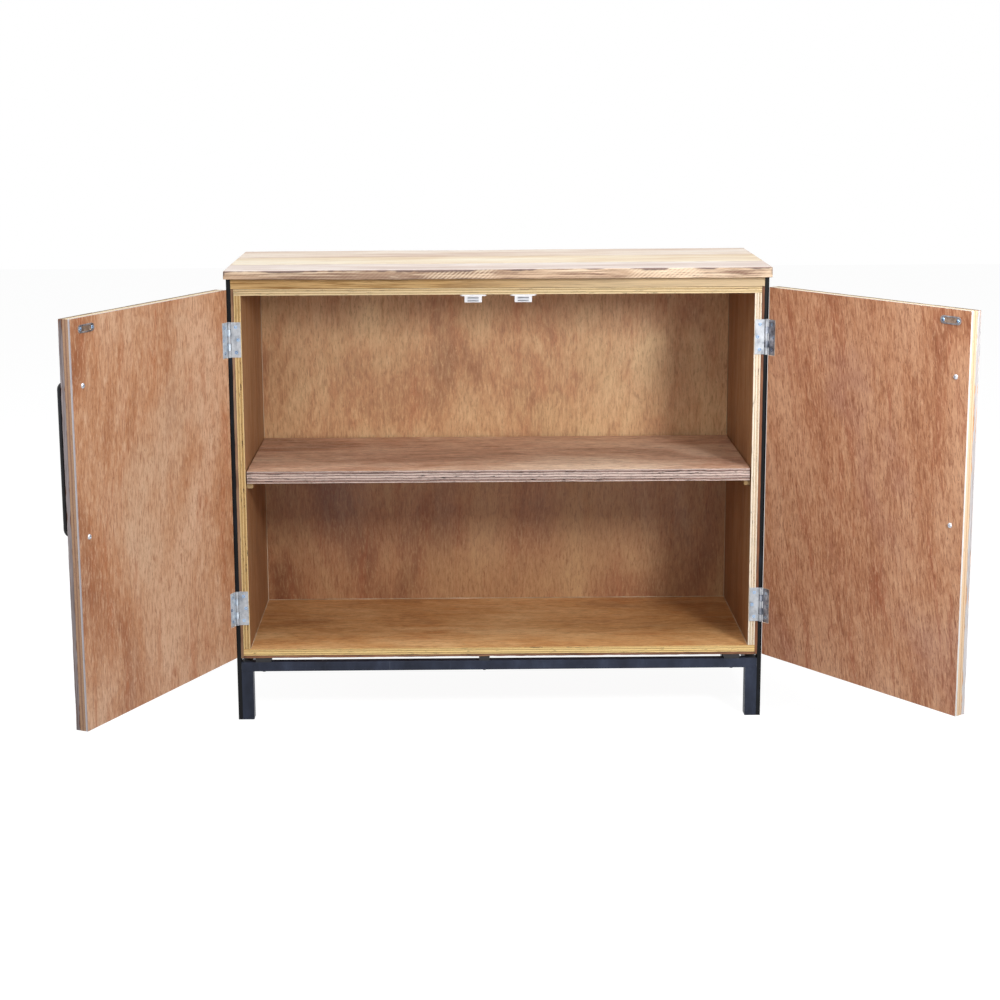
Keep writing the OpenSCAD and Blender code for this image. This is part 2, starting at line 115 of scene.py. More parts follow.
class Mat:
    def __init__(self, name):
        self.m = bpy.data.materials.new(name)
        self.m.use_nodes = True
        self.t = self.m.node_tree
        self.t.nodes.clear()
        out = self.t.nodes.new('ShaderNodeOutputMaterial')
        self.b = self.t.nodes.new('ShaderNodeBsdfPrincipled')
        self.t.links.new(self.b.outputs[0], out.inputs[0])
        self.tc = self.t.nodes.new('ShaderNodeTexCoord')
        self.obj = self.tc.outputs['Object']

    def put(self, sock, v):
        if isinstance(v, bpy.types.NodeSocket):
            self.t.links.new(v, sock)
        else:
            sock.default_value = v

    def map(self, scale, off=(0, 0, 0), rot=(0, 0, 0), vec=None):
        n = self.t.nodes.new('ShaderNodeMapping')
        self.put(n.inputs['Vector'], vec if vec is not None else self.obj)
        n.inputs['Scale'].default_value = scale
        n.inputs['Location'].default_value = off
        n.inputs['Rotation'].default_value = rot
        return n.outputs[0]

    def noise(self, vec, detail=3.0, rough=0.55, dist=0.0, scale=1.0, out='Fac'):
        n = self.t.nodes.new('ShaderNodeTexNoise')
        self.put(n.inputs['Vector'], vec)
        n.inputs['Scale'].default_value = scale
        n.inputs['Detail'].default_value = detail
        n.inputs['Roughness'].default_value = rough
        n.inputs['Distortion'].default_value = dist
        return n.outputs[out]

    def voronoi(self, vec, scale=1.0, feature='F1', out='Distance'):
        n = self.t.nodes.new('ShaderNodeTexVoronoi')
        n.feature = feature
        self.put(n.inputs['Vector'], vec)
        n.inputs['Scale'].default_value = scale
        return n.outputs[out]

    def white(self, w):
        n = self.t.nodes.new('ShaderNodeTexWhiteNoise')
        n.noise_dimensions = '1D'
        self.put(n.inputs['W'], w)
        return n.outputs['Value']

    def math(self, op, a, b=0.0, c=0.0, clamp=False):
        n = self.t.nodes.new('ShaderNodeMath')
        n.operation = op
        n.use_clamp = clamp
        self.put(n.inputs[0], a)
        self.put(n.inputs[1], b)
        if len(n.inputs) > 2:
            self.put(n.inputs[2], c)
        return n.outputs[0]

    def step(self, v, lo, hi, a=0.0, b=1.0):
        n = self.t.nodes.new('ShaderNodeMapRange')
        n.interpolation_type = 'SMOOTHSTEP'
        self.put(n.inputs['Value'], v)
        n.inputs['From Min'].default_value = lo
        n.inputs['From Max'].default_value = hi
        n.inputs['To Min'].default_value = a
        n.inputs['To Max'].default_value = b
        return n.outputs['Result']

    def ramp(self, fac, stops, interp='LINEAR'):
        n = self.t.nodes.new('ShaderNodeValToRGB')
        n.color_ramp.interpolation = interp
        el = n.color_ramp.elements
        while len(el) < len(stops):
            el.new(0.5)
        for e, (p, col) in zip(el, sorted(stops, key=lambda s: s[0])):
            e.position = p
            e.color = col
        self.put(n.inputs[0], fac)
        return n.outputs[0]

    def mix(self, fac, a, b, mode='MIX'):
        n = self.t.nodes.new('ShaderNodeMix')
        n.data_type = 'RGBA'
        n.blend_type = mode
        n.clamp_factor = True
        self.put(n.inputs[0], fac)
        self.put(n.inputs[6], a)
        self.put(n.inputs[7], b)
        return n.outputs[2]

    def sep(self, vec=None):
        n = self.t.nodes.new('ShaderNodeSeparateXYZ')
        self.put(n.inputs[0], vec if vec is not None else self.obj)
        return n.outputs

    def comb(self, x, y, z):
        n = self.t.nodes.new('ShaderNodeCombineXYZ')
        for s, v in zip(n.inputs, (x, y, z)):
            self.put(s, v)
        return n.outputs[0]

    def attr(self, name):
        n = self.t.nodes.new('ShaderNodeAttribute')
        n.attribute_name = name
        return n.outputs['Fac']

    def bump(self, height, strength=0.5, dist=0.001):
        n = self.t.nodes.new('ShaderNodeBump')
        n.inputs['Strength'].default_value = strength
        n.inputs['Distance'].default_value = dist
        self.put(n.inputs['Height'], height)
        self.put(self.b.inputs['Normal'], n.outputs[0])

    def shade(self, color, rough=0.5, metal=0.0, spec=0.5, coat=0.0, coat_rough=0.3):
        self.put(self.b.inputs['Base Color'], color)
        self.put(self.b.inputs['Roughness'], rough)
        self.b.inputs['Metallic'].default_value = metal
        self.b.inputs['Specular IOR Level'].default_value = spec
        if coat:
            self.b.inputs['Coat Weight'].default_value = coat
            self.b.inputs['Coat Roughness'].default_value = coat_rough
        return self.m


def grain_space(m, along, seed):
    """Object coordinates as (across, across, along the grain), with a slow wander across."""
    s = m.sep()
    order = {'x': (1, 2, 0), 'y': (0, 2, 1), 'z': (0, 1, 2)}[along]
    v = m.comb(s[order[0]], s[order[1]], s[order[2]])
    v = m.map((1, 1, 1), off=(seed * 1.37, seed * 0.71, seed * 2.13), vec=v)
    w = m.math('SUBTRACT', m.noise(m.map((3.0, 3.0, 1.1), vec=v), detail=2, rough=0.5), 0.5)
    p = m.sep(v)
    return m.comb(m.math('MULTIPLY_ADD', w, 0.05, p[0]), p[1], p[2])


def veneer(name, along, dark, base, light, red, seed=0.0, tilt=0.0, rough=0.52, figure=0.5,
           pores=0.5, mottle=0.5, coat=0.0, patch=None, patch_amt=0.0, painted_shade_below=None, con=1.0, spec=0.35, grow=1.0):
    """Rotary-cut veneer: slow patches, wandering streaks, contour figure, fibres and short dark pores. An optional tint
    darkens the part below the shelf, as painted shade.
    """
    dark, base, light, red, patch = gain(name, dark, base, light, red, patch)
    m = Mat(name)
    v = grain_space(m, along, seed)
    if tilt:
        p = m.sep(v)
        v = m.comb(m.math('MULTIPLY_ADD', p[2], tilt, p[0]), p[1], p[2])
    broad = m.noise(m.map((6.0, 6.0, 2.6), vec=v), detail=5, rough=0.62, dist=0.7)
    streak = m.noise(m.map((30, 30, 4.2), vec=v), detail=6, rough=0.70, dist=0.9)
    fib = m.noise(m.map((360, 360, 58 * grow), vec=v), detail=4, rough=0.65, dist=0.5)
    blot = m.noise(m.map((80, 80, 30), vec=v), detail=5, rough=0.72, dist=0.9)
    ridge = m.noise(m.map((5.0, 5.0, 0.55), off=(3, 1, 7), vec=v), detail=2, rough=0.5)
    lines = m.math('FRACT', m.math('MULTIPLY', ridge, 26.0))
    lines = m.math('ABSOLUTE', m.math('SUBTRACT', lines, 0.5))
    pore = m.noise(m.map((560, 560, 92 * grow), off=(5, 2, 1), vec=v), detail=3, rough=0.6, dist=0.5)
    pore = m.step(pore, 0.60, 0.72)
    col = m.ramp(broad, [(0.30, dark), (0.47, base), (0.70, light)])
    col = m.mix(m.step(streak, 0.49, 0.72, 0, min(1.0, 0.62 * con)), col, red)
    col = m.mix(m.step(streak, 0.47, 0.26, 0, min(1.0, 0.46 * con)), col, light)
    col = m.mix(m.math('MULTIPLY', m.step(lines, 0.12, 0.0), figure), col, m.mix(0.5, dark, red))
    col = m.mix(m.step(blot, 0.52, 0.74, 0, 0.55 * mottle), col, dark)
    col = m.mix(m.step(blot, 0.48, 0.28, 0, 0.45 * mottle), col, light)
    if patch is not None:
        big = m.noise(m.map((3.2, 3.2, 2.6), off=(9, 4, 2), vec=v), detail=4, rough=0.6, dist=0.8)
        col = m.mix(m.step(big, 0.50, 0.68, 0, patch_amt), col, patch)
    hair = m.noise(m.map((210, 210, 44 * grow), off=(2, 9, 4), vec=v), detail=5, rough=0.70, dist=0.6)
    col = m.mix(m.step(hair, 0.50, 0.66, 0, min(1.0, 0.48 * con)), col, dark)
    col = m.mix(m.step(hair, 0.48, 0.34, 0, min(1.0, 0.42 * con)), col, light)
    col = m.mix(m.step(fib, 0.51, 0.70, 0, min(1.0, 0.45 * con)), col, dark)
    col = m.mix(m.step(fib, 0.48, 0.28, 0, min(1.0, 0.38 * con)), col, light)
    col = m.mix(m.math('MULTIPLY', pore, pores), col, m.mix(0.45, dark, C(70, 34, 22)))
    # painted shade: below the shelf the colour is multiplied by the tint, fading in from z 0.49 m down to 0.44 m
    if painted_shade_below is not None:
        z = m.sep()[2]
        col = m.mix(m.step(z, 0.49, 0.44), col, m.mix(1.0, col, painted_shade_below, 'MULTIPLY'))
    h = m.math('ADD', m.math('MULTIPLY', fib, 0.6), m.math('MULTIPLY', pore, -0.5))
    m.bump(h, 0.22, 0.0006)
    r = m.step(streak, 0.3, 0.7, rough - 0.07, rough + 0.07)
    return m.shade(col, r, spec=spec, coat=coat, coat_rough=0.38)


def solid_wood(name, along, dark, base, light, seed=0.0, rough=0.6, rings=0.5, wash=None, wash_amt=0.0,
               saw=0.0, saw_at=None, worn=None, fine=1.0, knots=0.0, spec=0.3, pale_right=None):
    """Solid or reclaimed board: ring lines, fibres, optional whitewash, saw marks, knots and worn edges."""
    dark, base, light, wash, worn = gain(name, dark, base, light, wash, worn)
    m = Mat(name)
    v = grain_space(m, along, seed)
    p = m.sep(v)
    rng = m.noise(m.map((18, 30, 0.9), vec=v), detail=3, rough=0.55, dist=0.6)
    lines = m.math('FRACT', m.math('MULTIPLY', rng, 17.0))
    late = m.step(lines, 0.55, 0.98)
    fib = m.noise(m.map((420, 420, 9), vec=v), detail=4, rough=0.62)
    tone = m.noise(m.map((9, 9, 1.3), off=(4, 6, 1), vec=v), detail=4, rough=0.6)
    col = m.ramp(tone, [(0.32, dark), (0.5, base), (0.68, light)])
    col = m.mix(m.math('MULTIPLY', late, rings), col, dark)
    hair = m.noise(m.map((150, 150, 6), off=(6, 2, 3), vec=v), detail=5, rough=0.68)
    col = m.mix(m.step(hair, 0.51, 0.66, 0, min(1.0, 0.5 * fine)), col, dark)
    col = m.mix(m.step(fib, 0.51, 0.68, 0, min(1.0, 0.55 * fine)), col, dark)
    col = m.mix(m.step(fib, 0.48, 0.30, 0, min(1.0, 0.40 * fine)), col, light)
    h = m.math('ADD', m.math('MULTIPLY', fib, 0.8), m.math('MULTIPLY', late, -0.35))
    if knots:
        kn = m.voronoi(m.map((7, 7, 1.6), off=(1.3, 2.2, 0.4), vec=v), out='Distance')
        k = m.step(kn, 0.16, 0.05, 0, knots)
        col = m.mix(k, col, m.mix(0.4, dark, C(60, 38, 26)))
    if saw:
        sw = m.t.nodes.new('ShaderNodeTexWave')
        sw.wave_type = 'BANDS'
        sw.bands_direction = 'Z'
        m.put(sw.inputs['Vector'], m.map((1, 1, 1), rot=(0, math.radians(38), 0)))
        sw.inputs['Scale'].default_value = 62
        sw.inputs['Distortion'].default_value = 1.6
        sw.inputs['Detail'].default_value = 2
        where = m.step(m.noise(m.map((7, 7, 7), off=(2, 2, 5)), detail=2), 0.50, 0.62)
        if saw_at:
            x = m.sep()[0]
            x = m.math('MULTIPLY_ADD', m.math('SUBTRACT', m.noise(m.map((30, 30, 60)), detail=3), 0.5), 0.05, x)
            where = 0.12
            for a, b in saw_at:
                w_ = m.math('MULTIPLY', m.step(x, a - 0.02, a + 0.02), m.step(x, b + 0.02, b - 0.02))
                where = m.math('MAXIMUM', where, w_)
        amt = m.math('MULTIPLY', sw.outputs['Fac'], where)
        col = m.mix(m.math('MULTIPLY', amt, 0.45 * saw), col, light)
        h = m.math('ADD', h, m.math('MULTIPLY', amt, 0.8 * saw))
    if pale_right is not None:
        x = m.sep()[0]
        x = m.math('MULTIPLY_ADD', m.math('SUBTRACT', m.noise(m.map((4, 9, 9)), detail=3), 0.5), 0.5, x)
        col = m.mix(m.step(x, -0.25, 0.40, 0, 0.75), col, pale_right)
    if wash is not None:
        wn = m.noise(m.map((60, 60, 4), off=(7, 3, 8), vec=v), detail=5, rough=0.68)
        wf = m.noise(m.map((5, 5, 3), off=(2, 8, 8), vec=v), detail=3)
        f = m.math('MULTIPLY', m.step(wn, 0.34, 0.62), m.step(wf, 0.30, 0.60, 0.55, 1.0))
        col = m.mix(m.math('MULTIPLY', f, wash_amt), col, wash)
    if worn is not None:
        wr = m.attr('wear')
        ragged = m.noise(m.map((70, 70, 24), off=(3, 1, 9), vec=v), detail=5, rough=0.7)
        f = m.step(m.math('MULTIPLY', wr, m.math('ADD', ragged, 0.35)), 0.16, 0.62)
        col = m.mix(f, col, worn)
    m.bump(h, 0.35, 0.0008)
    r = m.step(fib, 0.3, 0.7, rough - 0.08, rough + 0.08)
    return m.shade(col, r, spec=spec)


def ply_edge(name, axis, along, z0, thick, layers, long_c, cross_c, glue, seed=0.0, void_painted_shade=0.6, rough=0.7,
             wob=0.12, streaky=0.5, lines=0.6, lw=0.17):
    """The layered edge of a plywood sheet: z0 is the sheet's lower face along axis, in mm. Its voids are coloured
    nearly black, as painted shade in the gaps.
    """
    long_c, cross_c, glue = gain(name, long_c, cross_c, glue)
    m = Mat(name)
    s = m.sep()
    i = 'xyz'.index(axis)
    j = 'xyz'.index(along)
    t = m.math('DIVIDE', m.math('SUBTRACT', s[i], z0 * MM), thick / layers * MM)
    lon = s[j]
    base = m.comb(lon, seed, seed * 1.7)
    w1 = m.math('SUBTRACT', m.noise(m.map((14, 1, 1), vec=base), detail=4, rough=0.6), 0.5)
    t = m.math('MULTIPLY_ADD', w1, wob * 2.2, t)
    fine_w = m.math('SUBTRACT', m.noise(m.map((90, 1, 1), off=(3, 0, 0), vec=base), detail=3, rough=0.6), 0.5)
    t = m.math('MULTIPLY_ADD', fine_w, wob * 1.2, t)
    t = m.math('MULTIPLY_ADD', m.math('SINE', m.math('MULTIPLY_ADD', t, 2.3, seed)), 0.24, t)
    lay = m.math('FLOOR', t)
    fr = m.math('SUBTRACT', t, lay)
    odd = m.math('MODULO', m.math('ADD', lay, 40.0), 2.0)
    rnd = m.white(m.math('ADD', lay, seed + 0.37))
    cell = m.comb(lon, m.math('MULTIPLY', lay, 3.7), t)
    str_long = m.noise(m.map((10, 1, 9), off=(seed, 0, 0), vec=cell), detail=5, rough=0.65)
    end_gr = m.noise(m.map((620, 1, 3.5), off=(0, seed, 0), vec=cell), detail=3, rough=0.7)
    col = m.mix(m.step(odd, 0.4, 0.6), m.mix(m.step(str_long, 0.35, 0.7), long_c, m.mix(0.35, long_c, cross_c)),
                m.mix(m.step(end_gr, 0.35, 0.7), cross_c, m.mix(0.45, cross_c, glue)))
    col = m.mix(m.math('MULTIPLY', m.step(rnd, 0.3, 1.0), 0.35), col, m.mix(0.5, cross_c, long_c))
    edge = m.math('MINIMUM', fr, m.math('SUBTRACT', 1.0, fr))
    gl_n = m.noise(m.map((26, 1, 1), off=(2, seed, 3), vec=cell), detail=4, rough=0.7)
    gl = m.math('MULTIPLY', m.step(edge, lw, lw * 0.15), m.step(gl_n, 0.42, 0.62, 0.10, 1.0))
    col = m.mix(m.math('MULTIPLY', gl, lines), col, glue)
    # voids: short gaps in a layer, coloured nearly black as painted shade, with a dip in the bump
    vn = m.noise(m.map((44, 5, 1.6), off=(6, seed, 2), vec=cell), detail=3, rough=0.6)
    void_shade_mask = m.math('MULTIPLY', m.step(vn, 0.60, 0.65), m.step(edge, 0.10, 0.24))
    void_shade_mask = m.math('MULTIPLY', void_shade_mask, void_painted_shade)
    col = m.mix(void_shade_mask, col, C(38, 26, 20))
    fuzz = m.noise(m.map((260, 260, 260), off=(0, 0, seed)), detail=3, rough=0.7)
    col = m.mix(m.step(fuzz, 0.5, 0.8, 0, streaky * 0.4), col, glue)
    h = m.math('ADD', m.math('MULTIPLY', gl, -0.5), m.math('MULTIPLY', void_shade_mask, -1.2))
    h = m.math('ADD', h, m.math('MULTIPLY', fuzz, 0.5))
    m.bump(h, 0.5, 0.0008)
    return m.shade(col, m.step(fuzz, 0.3, 0.7, rough - 0.06, rough + 0.1), spec=0.25)


def end_grain(name, dark, base, seed=0.0):
    dark, base = gain(name, dark, base)
    m = Mat(name)
    n1 = m.noise(m.map((60, 60, 60), off=(seed, 2, 5)), detail=5, rough=0.65)
    n2 = m.noise(m.map((700, 700, 700), off=(1, seed, 3)), detail=3, rough=0.7)
    ring = m.t.nodes.new('ShaderNodeTexWave')
    ring.wave_type = 'RINGS'
    m.put(ring.inputs['Vector'], m.map((1, 1, 1), off=(0.02, 0.05 + seed * 0.01, -0.4)))
    ring.inputs['Scale'].default_value = 70
    ring.inputs['Distortion'].default_value = 2.5
    ring.inputs['Detail'].default_value = 3
    col = m.ramp(n1, [(0.35, dark), (0.65, base)])
    col = m.mix(m.math('MULTIPLY', ring.outputs['Fac'], 0.35), col, dark)
    col = m.mix(m.step(n2, 0.5, 0.72, 0, 0.6), col, dark)
    m.bump(m.math('ADD', n2, m.math('MULTIPLY', ring.outputs['Fac'], 0.4)), 0.45, 0.0008)
    return m.shade(col, m.step(n1, 0.3, 0.7, 0.68, 0.84), spec=0.2)


def coated_iron(name, base, edge, dark, rough=0.42, spec=0.5, seed=0.0):
    """Powder-coated mild steel: faint orange peel, cloudy patches, rubbed places and a few scuffs."""
    base, edge, dark = gain(name, base, edge, dark)
    m = Mat(name)
    cloud = m.noise(m.map((16, 16, 9), off=(seed, 1, 2)), detail=4, rough=0.6)
    peel = m.noise(m.map((900, 900, 900), off=(2, seed, 1)), detail=2, rough=0.5)
    rub = m.noise(m.map((90, 90, 22), off=(3, 3, seed)), detail=5, rough=0.7)
    col = m.ramp(cloud, [(0.32, dark), (0.55, base), (0.78, edge)])
    col = m.mix(m.step(rub, 0.58, 0.78, 0, 0.5), col, edge)
    scr = m.noise(m.map((260, 260, 7), off=(8, 2, seed), rot=(0.12, 0.08, 0)), detail=1)
    col = m.mix(m.step(scr, 0.76, 0.82, 0, 0.15), col, m.mix(0.5, edge, C(150, 152, 158)))
    m.bump(m.math('ADD', peel, m.math('MULTIPLY', rub, 0.6)), 0.18, 0.0004)
    return m.shade(col, m.step(cloud, 0.3, 0.7, rough - 0.06, rough + 0.12), spec=spec)


def plated(name, base, dark, bright, rough=0.35, metal=0.85, seed=0.0, spangle=0.4, brush='z'):
    """Zinc-plated or bare steel: fine brushing, cloudy plating, spots of tarnish."""
    base, dark, bright = gain(name, base, dark, bright)
    m = Mat(name)
    sc = {'x': (30, 900, 900), 'y': (900, 30, 900), 'z': (900, 900, 30)}[brush]
    br = m.noise(m.map(sc, off=(seed, 0, 0)), detail=2, rough=0.6)
    cl = m.noise(m.map((75, 75, 60), off=(0, seed, 4)), detail=5, rough=0.65)
    sp = m.voronoi(m.map((260, 260, 260), off=(seed, 3, 1)), out='Color')
    spv = m.math('MULTIPLY', m.sep(sp)[0], spangle)
    col = m.ramp(cl, [(0.32, dark), (0.52, base), (0.74, bright)])
    col = m.mix(m.math('MULTIPLY', spv, 0.45), col, bright)
    col = m.mix(m.step(br, 0.5, 0.8, 0, 0.35), col, dark)
    m.bump(m.math('ADD', br, m.math('MULTIPLY', cl, 0.5)), 0.10, 0.0003)
    return m.shade(col, m.step(cl, 0.3, 0.7, rough - 0.08, rough + 0.14), metal=metal, spec=0.5)


def plastic(name, base, shade_c, rough=0.4, seed=0.0):
    base, shade_c = gain(name, base, shade_c)
    m = Mat(name)
    n1 = m.noise(m.map((1400, 1400, 1400), off=(seed, 0, 0)), detail=2)
    n2 = m.noise(m.map((90, 90, 90), off=(0, seed, 0)), detail=4, rough=0.6)
    col = m.mix(m.step(n2, 0.4, 0.75, 0, 0.5), base, shade_c)
    m.bump(n1, 0.08, 0.0002)
    return m.shade(col, m.step(n2, 0.3, 0.7, rough - 0.05, rough + 0.08), spec=0.45)


# ---------------------------------------------------------------- geometry
def nz(p, s, seed=0.0):
    return noise.noise(Vector((p[0] * s + seed * 3.1, p[1] * s + seed * 1.7, p[2] * s - seed * 2.3)))


def grid_box(bm, lo, hi, r=0.8, rmin=None, step=(25, 25, 25), extra=((), (), ()), seed=0.0, wscale=0.03,
             warp=None, mats=(0, 0, 0, 0, 0, 0), wear_on=None):
    """A box in mm as one closed skin with rounded, unevenly worn edges. mats and order: -x +x -y +y -z +z."""
    lo, hi = np.array(lo, float), np.array(hi, float)
    r = min(r, 0.44 * float((hi - lo).min()))
    rmin = r if rmin is None else min(rmin, r)
    ax = []
    for a in range(3):
        ln = hi[a] - lo[a] - 2 * r
        n = max(1, int(round(ln / step[a])))
        s = [lo[a], lo[a] + 0.3 * r, lo[a] + 0.62 * r] + list(np.linspace(lo[a] + r, hi[a] - r, n + 1)) \
            + [hi[a] - 0.62 * r, hi[a] - 0.3 * r, hi[a]]
        ex = [e for e in extra[a] if lo[a] + r < e < hi[a] - r]
        s = [v for v in s if all(abs(v - e) > 0.35 for e in ex) or v <= lo[a] + r + 1e-6 or v >= hi[a] - r - 1e-6]
        ax.append(sorted(s + ex))
    n = [len(a) for a in ax]
    wl = bm.verts.layers.float.get('wear') or bm.verts.layers.float.new('wear')
    index = {}

    def vert(i, j, k):
        key = (i, j, k)
        if key in index:
            return index[key]
        p = np.array((ax[0][i], ax[1][j], ax[2][k]))
        rl = r
        if rmin < r:
            q = nz(p, wscale, seed) * 0.7 + nz(p, wscale * 3.3, seed + 5) * 0.45
            q = min(1.0, max(0.0, q * 1.5 + 0.12))
            if wear_on is not None:
                q = min(1.0, (q + 0.12) * wear_on(p))
            rl = rmin + (r - rmin) * q
        c = np.clip(p, lo + rl, hi - rl)
        d = p - c
        m = float(np.linalg.norm(d))
        wear = 0.0
        if m > 1e-9 and (np.abs(d) > 1e-6).sum() > 1:
            moved = c + d * (rl / m)
            wear = min(1.0, rl / max(r, 1e-6))
            p = moved
        elif rmin < r:
            near = np.sort(np.minimum(p - lo, hi - p))[1]
            wear = max(0.0, 1.0 - near / (2.2 * r)) * rl / r
        if warp is not None:
            p = np.array(warp(p), float)
        v = bm.verts.new(p * MM)
        v[wl] = wear
        index[key] = v
        return v

    def face(vs, mi):
        if len({id(v) for v in vs}) == 4:
            f = bm.faces.new(vs)
            f.material_index = mi
            f.smooth = True

    for j in range(n[1] - 1):
        for k in range(n[2] - 1):
            face([vert(0, j, k), vert(0, j, k + 1), vert(0, j + 1, k + 1), vert(0, j + 1, k)], mats[0])
            i = n[0] - 1
            face([vert(i, j, k), vert(i, j + 1, k), vert(i, j + 1, k + 1), vert(i, j, k + 1)], mats[1])
    for i in range(n[0] - 1):
        for k in range(n[2] - 1):
            face([vert(i, 0, k), vert(i + 1, 0, k), vert(i + 1, 0, k + 1), vert(i, 0, k + 1)], mats[2])
            j = n[1] - 1
            face([vert(i, j, k), vert(i, j, k + 1), vert(i + 1, j, k + 1), vert(i + 1, j, k)], mats[3])
    for i in range(n[0] - 1):
        for j in range(n[1] - 1):
            face([vert(i, j, 0), vert(i, j + 1, 0), vert(i + 1, j + 1, 0), vert(i + 1, j, 0)], mats[4])
            k = n[2] - 1
            face([vert(i, j, k), vert(i + 1, j, k), vert(i + 1, j + 1, k), vert(i, j + 1, k)], mats[5])
    return bm


def revolve(bm, prof, origin=(0, 0, 0), normal=(0, 0, 1), seg=32, mat=0):
    """A closed profile of (radius, height) pairs turned round normal, in mm. It starts and ends on the axis."""
    rot = Vector(normal).to_track_quat('Z', 'Y').to_matrix()
    o = Vector(origin)
    rings = []
    for r, z in prof:
        if r < 1e-6:
            rings.append([bm.verts.new((o + rot @ Vector((0, 0, z))) * MM)])
        else:
            rings.append([bm.verts.new((o + rot @ Vector((r * math.cos(2 * math.pi * i / seg),
                                                          r * math.sin(2 * math.pi * i / seg), z))) * MM)
                          for i in range(seg)])
    fs = []
    for a, b in zip(rings, rings[1:]):
        for i in range(seg):
            i2 = (i + 1) % seg
            if len(a) == 1 and len(b) == 1:
                continue
            if len(a) == 1:
                fs.append(bm.faces.new([a[0], b[i], b[i2]]))
            elif len(b) == 1:
                fs.append(bm.faces.new([a[i], b[0], a[i2]]))
            else:
                fs.append(bm.faces.new([a[i], b[i], b[i2], a[i2]]))
    for f in fs:
        f.material_index = mat
        f.smooth = True
    return fs


def loft(bm, rings, mat=0, cap=True, closed=True):
    """Skins a list of vertex-position rings (mm) of equal length."""
    vs = [[bm.verts.new(Vector(p) * MM) for p in ring] for ring in rings]
    fs = []
    n = len(vs[0])
    for a, b in zip(vs, vs[1:]):
        for i in range(n if closed else n - 1):
            i2 = (i + 1) % n
            fs.append(bm.faces.new([a[i], a[i2], b[i2], b[i]]))
    if cap:
        fs.append(bm.faces.new(list(reversed(vs[0]))))
        fs.append(bm.faces.new(vs[-1]))
    for f in fs:
        f.material_index = mat
        f.smooth = True
    return fs


def tube(bm, path, rad, seg=20, mat=0):
    """A round bar along path (mm); rad is a number or one per point."""
    pts = [Vector(p) for p in path]
    rads = rad if hasattr(rad, '__len__') else [rad] * len(pts)
    t0 = (pts[1] - pts[0]).normalized()
    ref = Vector((1, 0, 0)) if abs(t0.x) < 0.9 else Vector((0, 1, 0))
    u = (ref - t0 * ref.dot(t0)).normalized()
    rings = []
    for i, p in enumerate(pts):
        t = ((pts[min(i + 1, len(pts) - 1)] - p).normalized() + (p - pts[max(i - 1, 0)]).normalized())
        t = t.normalized() if t.length > 1e-9 else t0
        u = (u - t * u.dot(t)).normalized()
        w = t.cross(u)
        rings.append([p + (u * math.cos(2 * math.pi * k / seg) + w * math.sin(2 * math.pi * k / seg)) * rads[i]
                      for k in range(seg)])
    return loft(bm, rings, mat)


def screw(bm, origin, normal, head=3.0, depth=1.1, length=12.0, shank=1.5, dome=0.0, turn=0.3, mat=0, seg=36):
    """A cross-recess screw. normal points out of the head. dome 0 is countersunk flat; above 0 is a domed head."""
    rot = Vector(normal).to_track_quat('Z', 'Y').to_matrix() @ Matrix.Rotation(turn, 3, 'Z')
    o = Vector(origin)

    def P(x, y, z):
        return (o + rot @ Vector((x, y, z))) * MM

    def top(r):
        if dome <= 0:
            return -0.02 * (r / head) ** 2
        return dome * math.sqrt(max(0.0, 1 - (r / (head * 1.04)) ** 2)) if r < head else 0.0

    w, a = 0.14 * head, 0.52 * head
    cross = [(a, w), (w, w), (w, a), (-w, a), (-w, w), (-a, w), (-a, -w), (-w, -w), (-w, -a), (w, -a), (w, -w), (a, -w)]
    d = 0.42 * head
    cv = [bm.verts.new(P(x, y, top(math.hypot(x, y)))) for x, y in cross]
    bv = [bm.verts.new(P(x * 0.62, y * 0.7, top(0) - d)) for x, y in cross]
    fs = [bm.faces.new(bv)]
    for i in range(12):
        j = (i + 1) % 12
        fs.append(bm.faces.new([cv[i], cv[j], bv[j], bv[i]]))
    rr = [0.66, 0.80, 0.92, 1.0]
    rings = []
    for q in rr:
        z = top(q * head * 0.999) if q < 1 else (0.0 if dome > 0 else -0.05)
        rings.append([bm.verts.new(P(q * head * math.cos(2 * math.pi * i / seg), q * head * math.sin(2 * math.pi * i / seg), z))
                      for i in range(seg)])
    # between the cross and the first ring
    per = seg // 12
    ang = [math.atan2(y, x) for x, y in cross]
    first = rings[0]
    ra = [2 * math.pi * i / seg for i in range(seg)]
    owner = []
    for t in ra:
        owner.append(min(range(12), key=lambda k: abs((t - ang[k] + math.pi) % (2 * math.pi) - math.pi)
                         + (0.0 if math.hypot(*cross[k]) > 0.3 * head else 0.25)))
    for i in range(seg):
        j = (i + 1) % seg
        oi, oj = owner[i], owner[j]
        fs.append(bm.faces.new([cv[oi], first[i], first[j]]))
        k = oi
        while k != oj:
            kn = (k + 1) % 12
            fs.append(bm.faces.new([cv[k], first[j], cv[kn]]))
            k = kn
    for A, B in zip(rings, rings[1:]):
        for i in range(seg):
            j = (i + 1) % seg
            fs.append(bm.faces.new([A[i], B[i], B[j], A[j]]))
    prof = [(shank, -depth), (shank, -(length - 2.5 * shank)), (0.25 * shank, -length)]
    if dome > 0:
        prof = [(head * 0.97, -0.0), (shank, -0.02)] + prof[1:]
    A = rings[-1]
    for r, z in prof:
        B = [bm.verts.new(P(r * math.cos(2 * math.pi * i / seg), r * math.sin(2 * math.pi * i / seg), z)) for i in range(seg)]
        for i in range(seg):
            j = (i + 1) % seg
            fs.append(bm.faces.new([A[i], B[i], B[j], A[j]]))
        A = B
    fs.append(bm.faces.new(A))
    for f in fs:
        f.material_index = mat
        f.smooth = True


